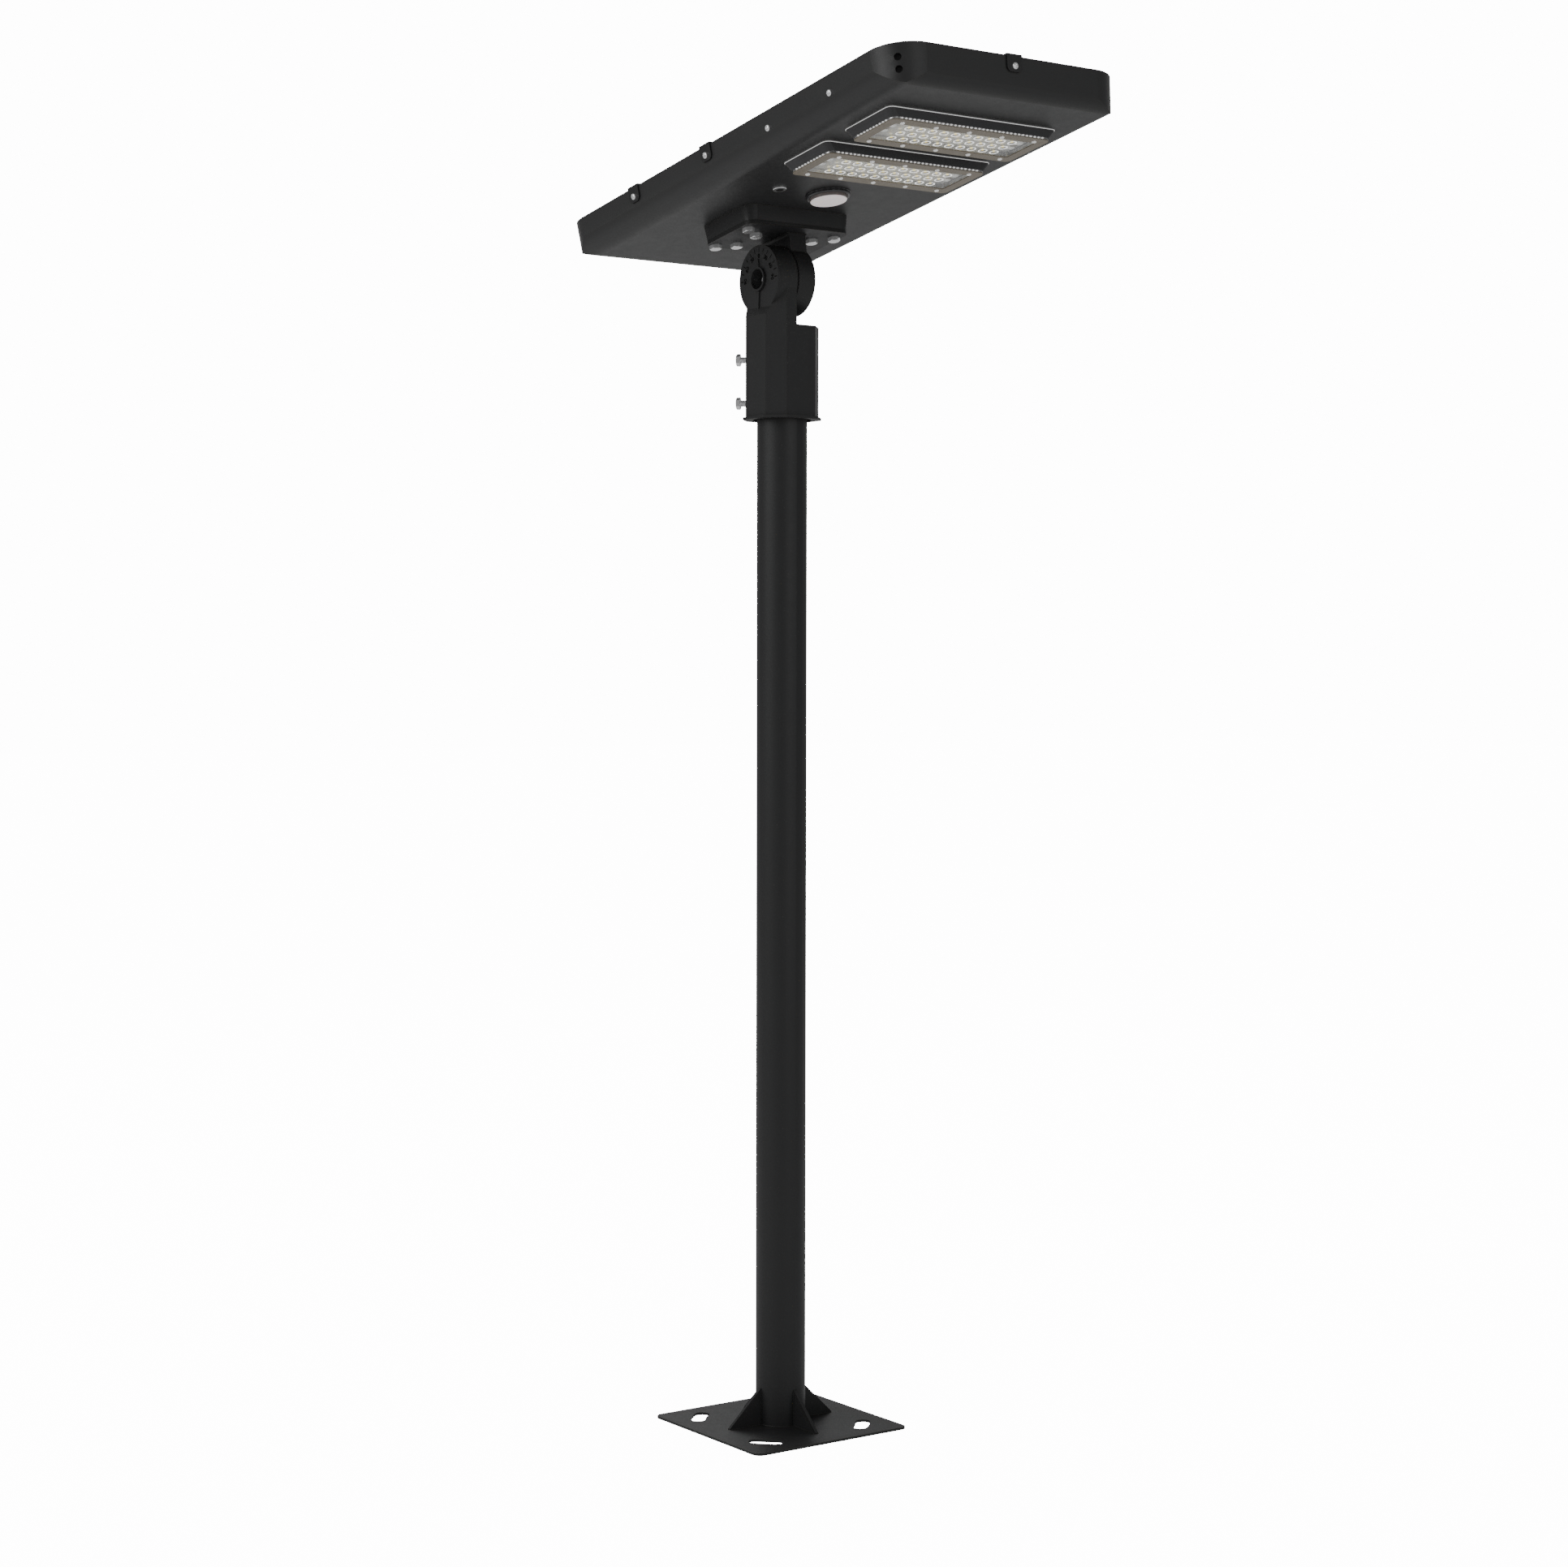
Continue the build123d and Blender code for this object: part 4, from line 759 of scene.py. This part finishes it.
def sensor_dome():
    """Milky cap with a faint ring step on its face and a wall in a darker copy of its plastic, on a neck up
    into the head. The face glows a little, a painted glow, and the darker wall is painted shade.
    """
    low, high = span("sensor_lens")
    mid = (low + high) / 2
    radius = (high.x - low.x) / 2
    top = span("sensor_ring")[1].z
    tall = top - low.z
    wall = [(0.955, 0.0), (1.0, 0.0), (1.0, 0.45), (0.995, 0.72), (0.98, 0.84), (0.955, 0.88)]
    band = bmesh.new()
    rings = [circle(radius * share, tall * z, 96) for share, z in wall]
    add_rings(band, under_plane(mid.x, mid.y, top), rings + [rings[0]], False, False)
    piece("sensor_wall", mesh_from("sensor_wall", band, 40), milky_painted_shade, "head", "sensor_lens")
    shape = [(0.95, 0.0), (0.95, 0.9), (0.94, 0.96), (0.92, 0.99), (0.9, 1.0), (0.72, 1.0), (0.715, 0.985),
             (0.70, 0.985), (0.695, 1.0), (0.3, 1.0), (0.02, 1.0)]
    rings = [circle(radius * share, tall * z, 96) for share, z in shape]
    bm = bmesh.new()
    add_rings(bm, under_plane(mid.x, mid.y, top), rings)
    neck = [circle(sensor_neck, z, 64) for z in (0, high.z - top + 0.5 * MM)]
    add_rings(bm, under_plane(mid.x, mid.y, high.z), neck)
    piece("sensor_dome", mesh_from("sensor_dome", bm, 40), milky_painted_glow, "head", "sensor_lens", "sensor_lens")


sensor_bezel()
sensor_dome()


# ---- weld beads at the foot of the pole ----
def weld(bm, path, radius, ripple):
    """Rippled bead along a path of (point, normal) pairs."""
    rows = []
    for k, (point, side_a, side_b) in enumerate(path):
        swell = radius * (1 + 0.1 * sin(k * ripple))
        ring = []
        for i in range(12):
            turn = 2 * pi * i / 12
            ring.append(point + side_a * (swell * cos(turn)) + side_b * (swell * sin(turn)))
        rows.append(ring)
    add_rings(bm, Matrix(), rows)


def foot_welds():
    """Beads round the foot of the pole and along both sides of each gusset."""
    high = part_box("base_gussets")[1]
    plate_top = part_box("base_plate")[1][2]
    pole_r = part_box("pole_tube")[1][0]
    half_t, bead = gusset_half, weld_bead
    rise = Vector((0, 0, 1))
    bm = bmesh.new()
    for quarter in range(4):
        spin = Matrix.Rotation(pi / 2 * quarter, 3, "Z")
        gap = half_t / pole_r + 0.02
        path = []
        steps = 60
        for k in range(steps + 1):
            turn = gap + (pi / 2 - 2 * gap) * k / steps
            out = spin @ Vector((cos(turn), sin(turn), 0))
            path.append((out * (pole_r + bead * 0.2) + rise * (plate_top + bead * 0.2), out, rise))
        weld(bm, path, bead, 1.4)
        for side in (-1, 1):
            across = spin @ Vector((0, side, 0))
            along = spin @ Vector((1, 0, 0))
            start, end = pole_r + bead, high[0] - bead
            path = []
            for k in range(41):
                spot = along * (start + (end - start) * k / 40) + across * (half_t + bead * 0.1)
                path.append((spot + rise * (plate_top + bead * 0.1), across, rise))
            weld(bm, path, bead * 0.75, 1.4)
            path = []
            for k in range(31):
                z = plate_top + bead + (high[2] - plate_top - 2.5 * bead) * k / 30
                spot = along * (pole_r + bead * 0.1) + across * (half_t + bead * 0.1)
                path.append((spot + rise * z, across, along))
            weld(bm, path, bead * 0.75, 1.4)
    piece("foot_welds", mesh_from("foot_welds", bm, 50), powder_pole, "pole", "pole_steel")


foot_welds()


# ---- numbers of the tilt scale ----
def tilt_scale():
    """Black numbers every 30 degrees, standing a little proud of the fixed knuckle's face."""
    bm = bmesh.new()
    proud, sunk = 0.35 * MM, 0.25 * MM
    numbers = (90, 60, 30, 0, 30, 60, 90)
    middle_z = scale_face - sunk + (proud + sunk) / 2
    for k, number in enumerate(numbers):
        turn = pi - pi * k / 6
        text = bpy.data.curves.new("number", "FONT")
        text.body = str(number)
        text.size = number_size
        text.extrude = (proud + sunk) / 2
        text.align_x = "CENTER"
        text.align_y = "CENTER"
        text.resolution_u = 4
        holder = bpy.data.objects.new("number", text)
        bpy.context.scene.collection.objects.link(holder)
        mesh = bpy.data.meshes.new_from_object(holder.evaluated_get(bpy.context.evaluated_depsgraph_get()))
        spot = Matrix.Translation((number_r * cos(turn), number_r * sin(turn), middle_z))
        mesh.transform(PIVOT @ spot @ Matrix.Rotation(turn - pi / 2, 4, "Z"))
        bm.from_mesh(mesh)
        bpy.data.objects.remove(holder)
        bpy.data.curves.remove(text)
        bpy.data.meshes.remove(mesh)
    piece("tilt_numbers", mesh_from("tilt_numbers", bm, 30), scale_black, "fitter", "bracket_cast")


tilt_scale()


def scale_ticks():
    """Black bars lying in the scale's cut marks, every 15 degrees."""
    bm = bmesh.new()
    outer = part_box("slip_fitter")[1][2] - pivot.z
    for k in range(13):
        turn = pi * k / 12
        out = Matrix.Translation((outer - tick_inset, 0, scale_floor))
        add_block(bm, PIVOT @ Matrix.Rotation(turn, 4, "Z") @ out, tick_size, 0.4 * MM)
    piece("scale_ticks", mesh_from("scale_ticks", bm, 40), scale_black, "fitter", "bracket_cast")


scale_ticks()


# ------------------------------------------------------------------- stage
def backdrop(owner, strength, lit, seen):
    """Gives the stage one strength as a light and another, near white, where it is seen directly."""
    make, link = node_maker(owner)
    level = make("ShaderNodeMapRange")
    level.inputs["To Min"].default_value = lit
    level.inputs["To Max"].default_value = seen
    link(make("ShaderNodeLightPath").outputs["Is Camera Ray"], level.inputs["Value"])
    link(level.outputs["Result"], strength)


def studio():
    """Pale floor, soft even light and the camera."""
    scene = bpy.context.scene
    seen = 14.0      # strength at which the camera sees the floor and the world
    bpy.ops.mesh.primitive_plane_add(size=60, location=(0, 0, cad_low.z - 0.2 * MM))
    floor = bpy.context.object
    floor.name = "floor"
    paper = material("floor_paper", (0.85, 0.85, 0.85), 0.9, cloud=0.005, Emission_Color=(1, 1, 1, 1))
    backdrop(paper, paper.node_tree.nodes["Principled BSDF"].inputs["Emission Strength"], 0.118, seen)
    floor.data.materials.append(paper)
    world = bpy.data.worlds.new("studio")
    world.use_nodes = True
    backdrop(world, world.node_tree.nodes["Background"].inputs["Strength"], 0.25, seen)
    world.node_tree.nodes["Background"].inputs["Color"].default_value = (1, 1, 1, 1)
    scene.world = world
    # name, place, point that it faces, side and power of each lamp
    lamps = (
        ("key", (-0.4, -3.6, 2.8), (0.0, 0.0, 1.1), 3.0, 72),
        ("fill", (3.8, 0.4, 1.8), (0.1, 0.0, 1.0), 2.6, 24),
        ("rim", (-1.4, 3.0, 2.6), (0.0, 0.0, 1.2), 2.2, 8),
        ("back", (-3.4, 1.0, 2.9), (0.0, 0.0, 1.1), 2.4, 34),
    )
    for name, spot, aim, size, power in lamps:
        data = bpy.data.lights.new(name, "AREA")
        data.shape = "SQUARE"
        data.size = size
        data.energy = power
        lamp = bpy.data.objects.new(name, data)
        lamp.location = spot
        lamp.rotation_euler = (Vector(aim) - Vector(spot)).to_track_quat("-Z", "Y").to_euler()
        scene.collection.objects.link(lamp)
    view = bpy.data.cameras.new("camera")
    view.sensor_width = 36
    view.lens = 66.25
    view.clip_end = 100
    camera = bpy.data.objects.new("camera", view)
    ahead = Vector((-0.81464, 0.57884, -0.03620)).normalized()
    above = Vector((-0.03052, 0.01954, 0.99934))
    side = ahead.cross(above).normalized()
    above = side.cross(ahead)
    turn = Matrix((side, above, -ahead)).transposed().to_4x4()
    camera.matrix_world = Matrix.Translation((2.8154, -1.9967, 0.8971)) @ turn
    scene.collection.objects.link(camera)
    scene.camera = camera


studio()
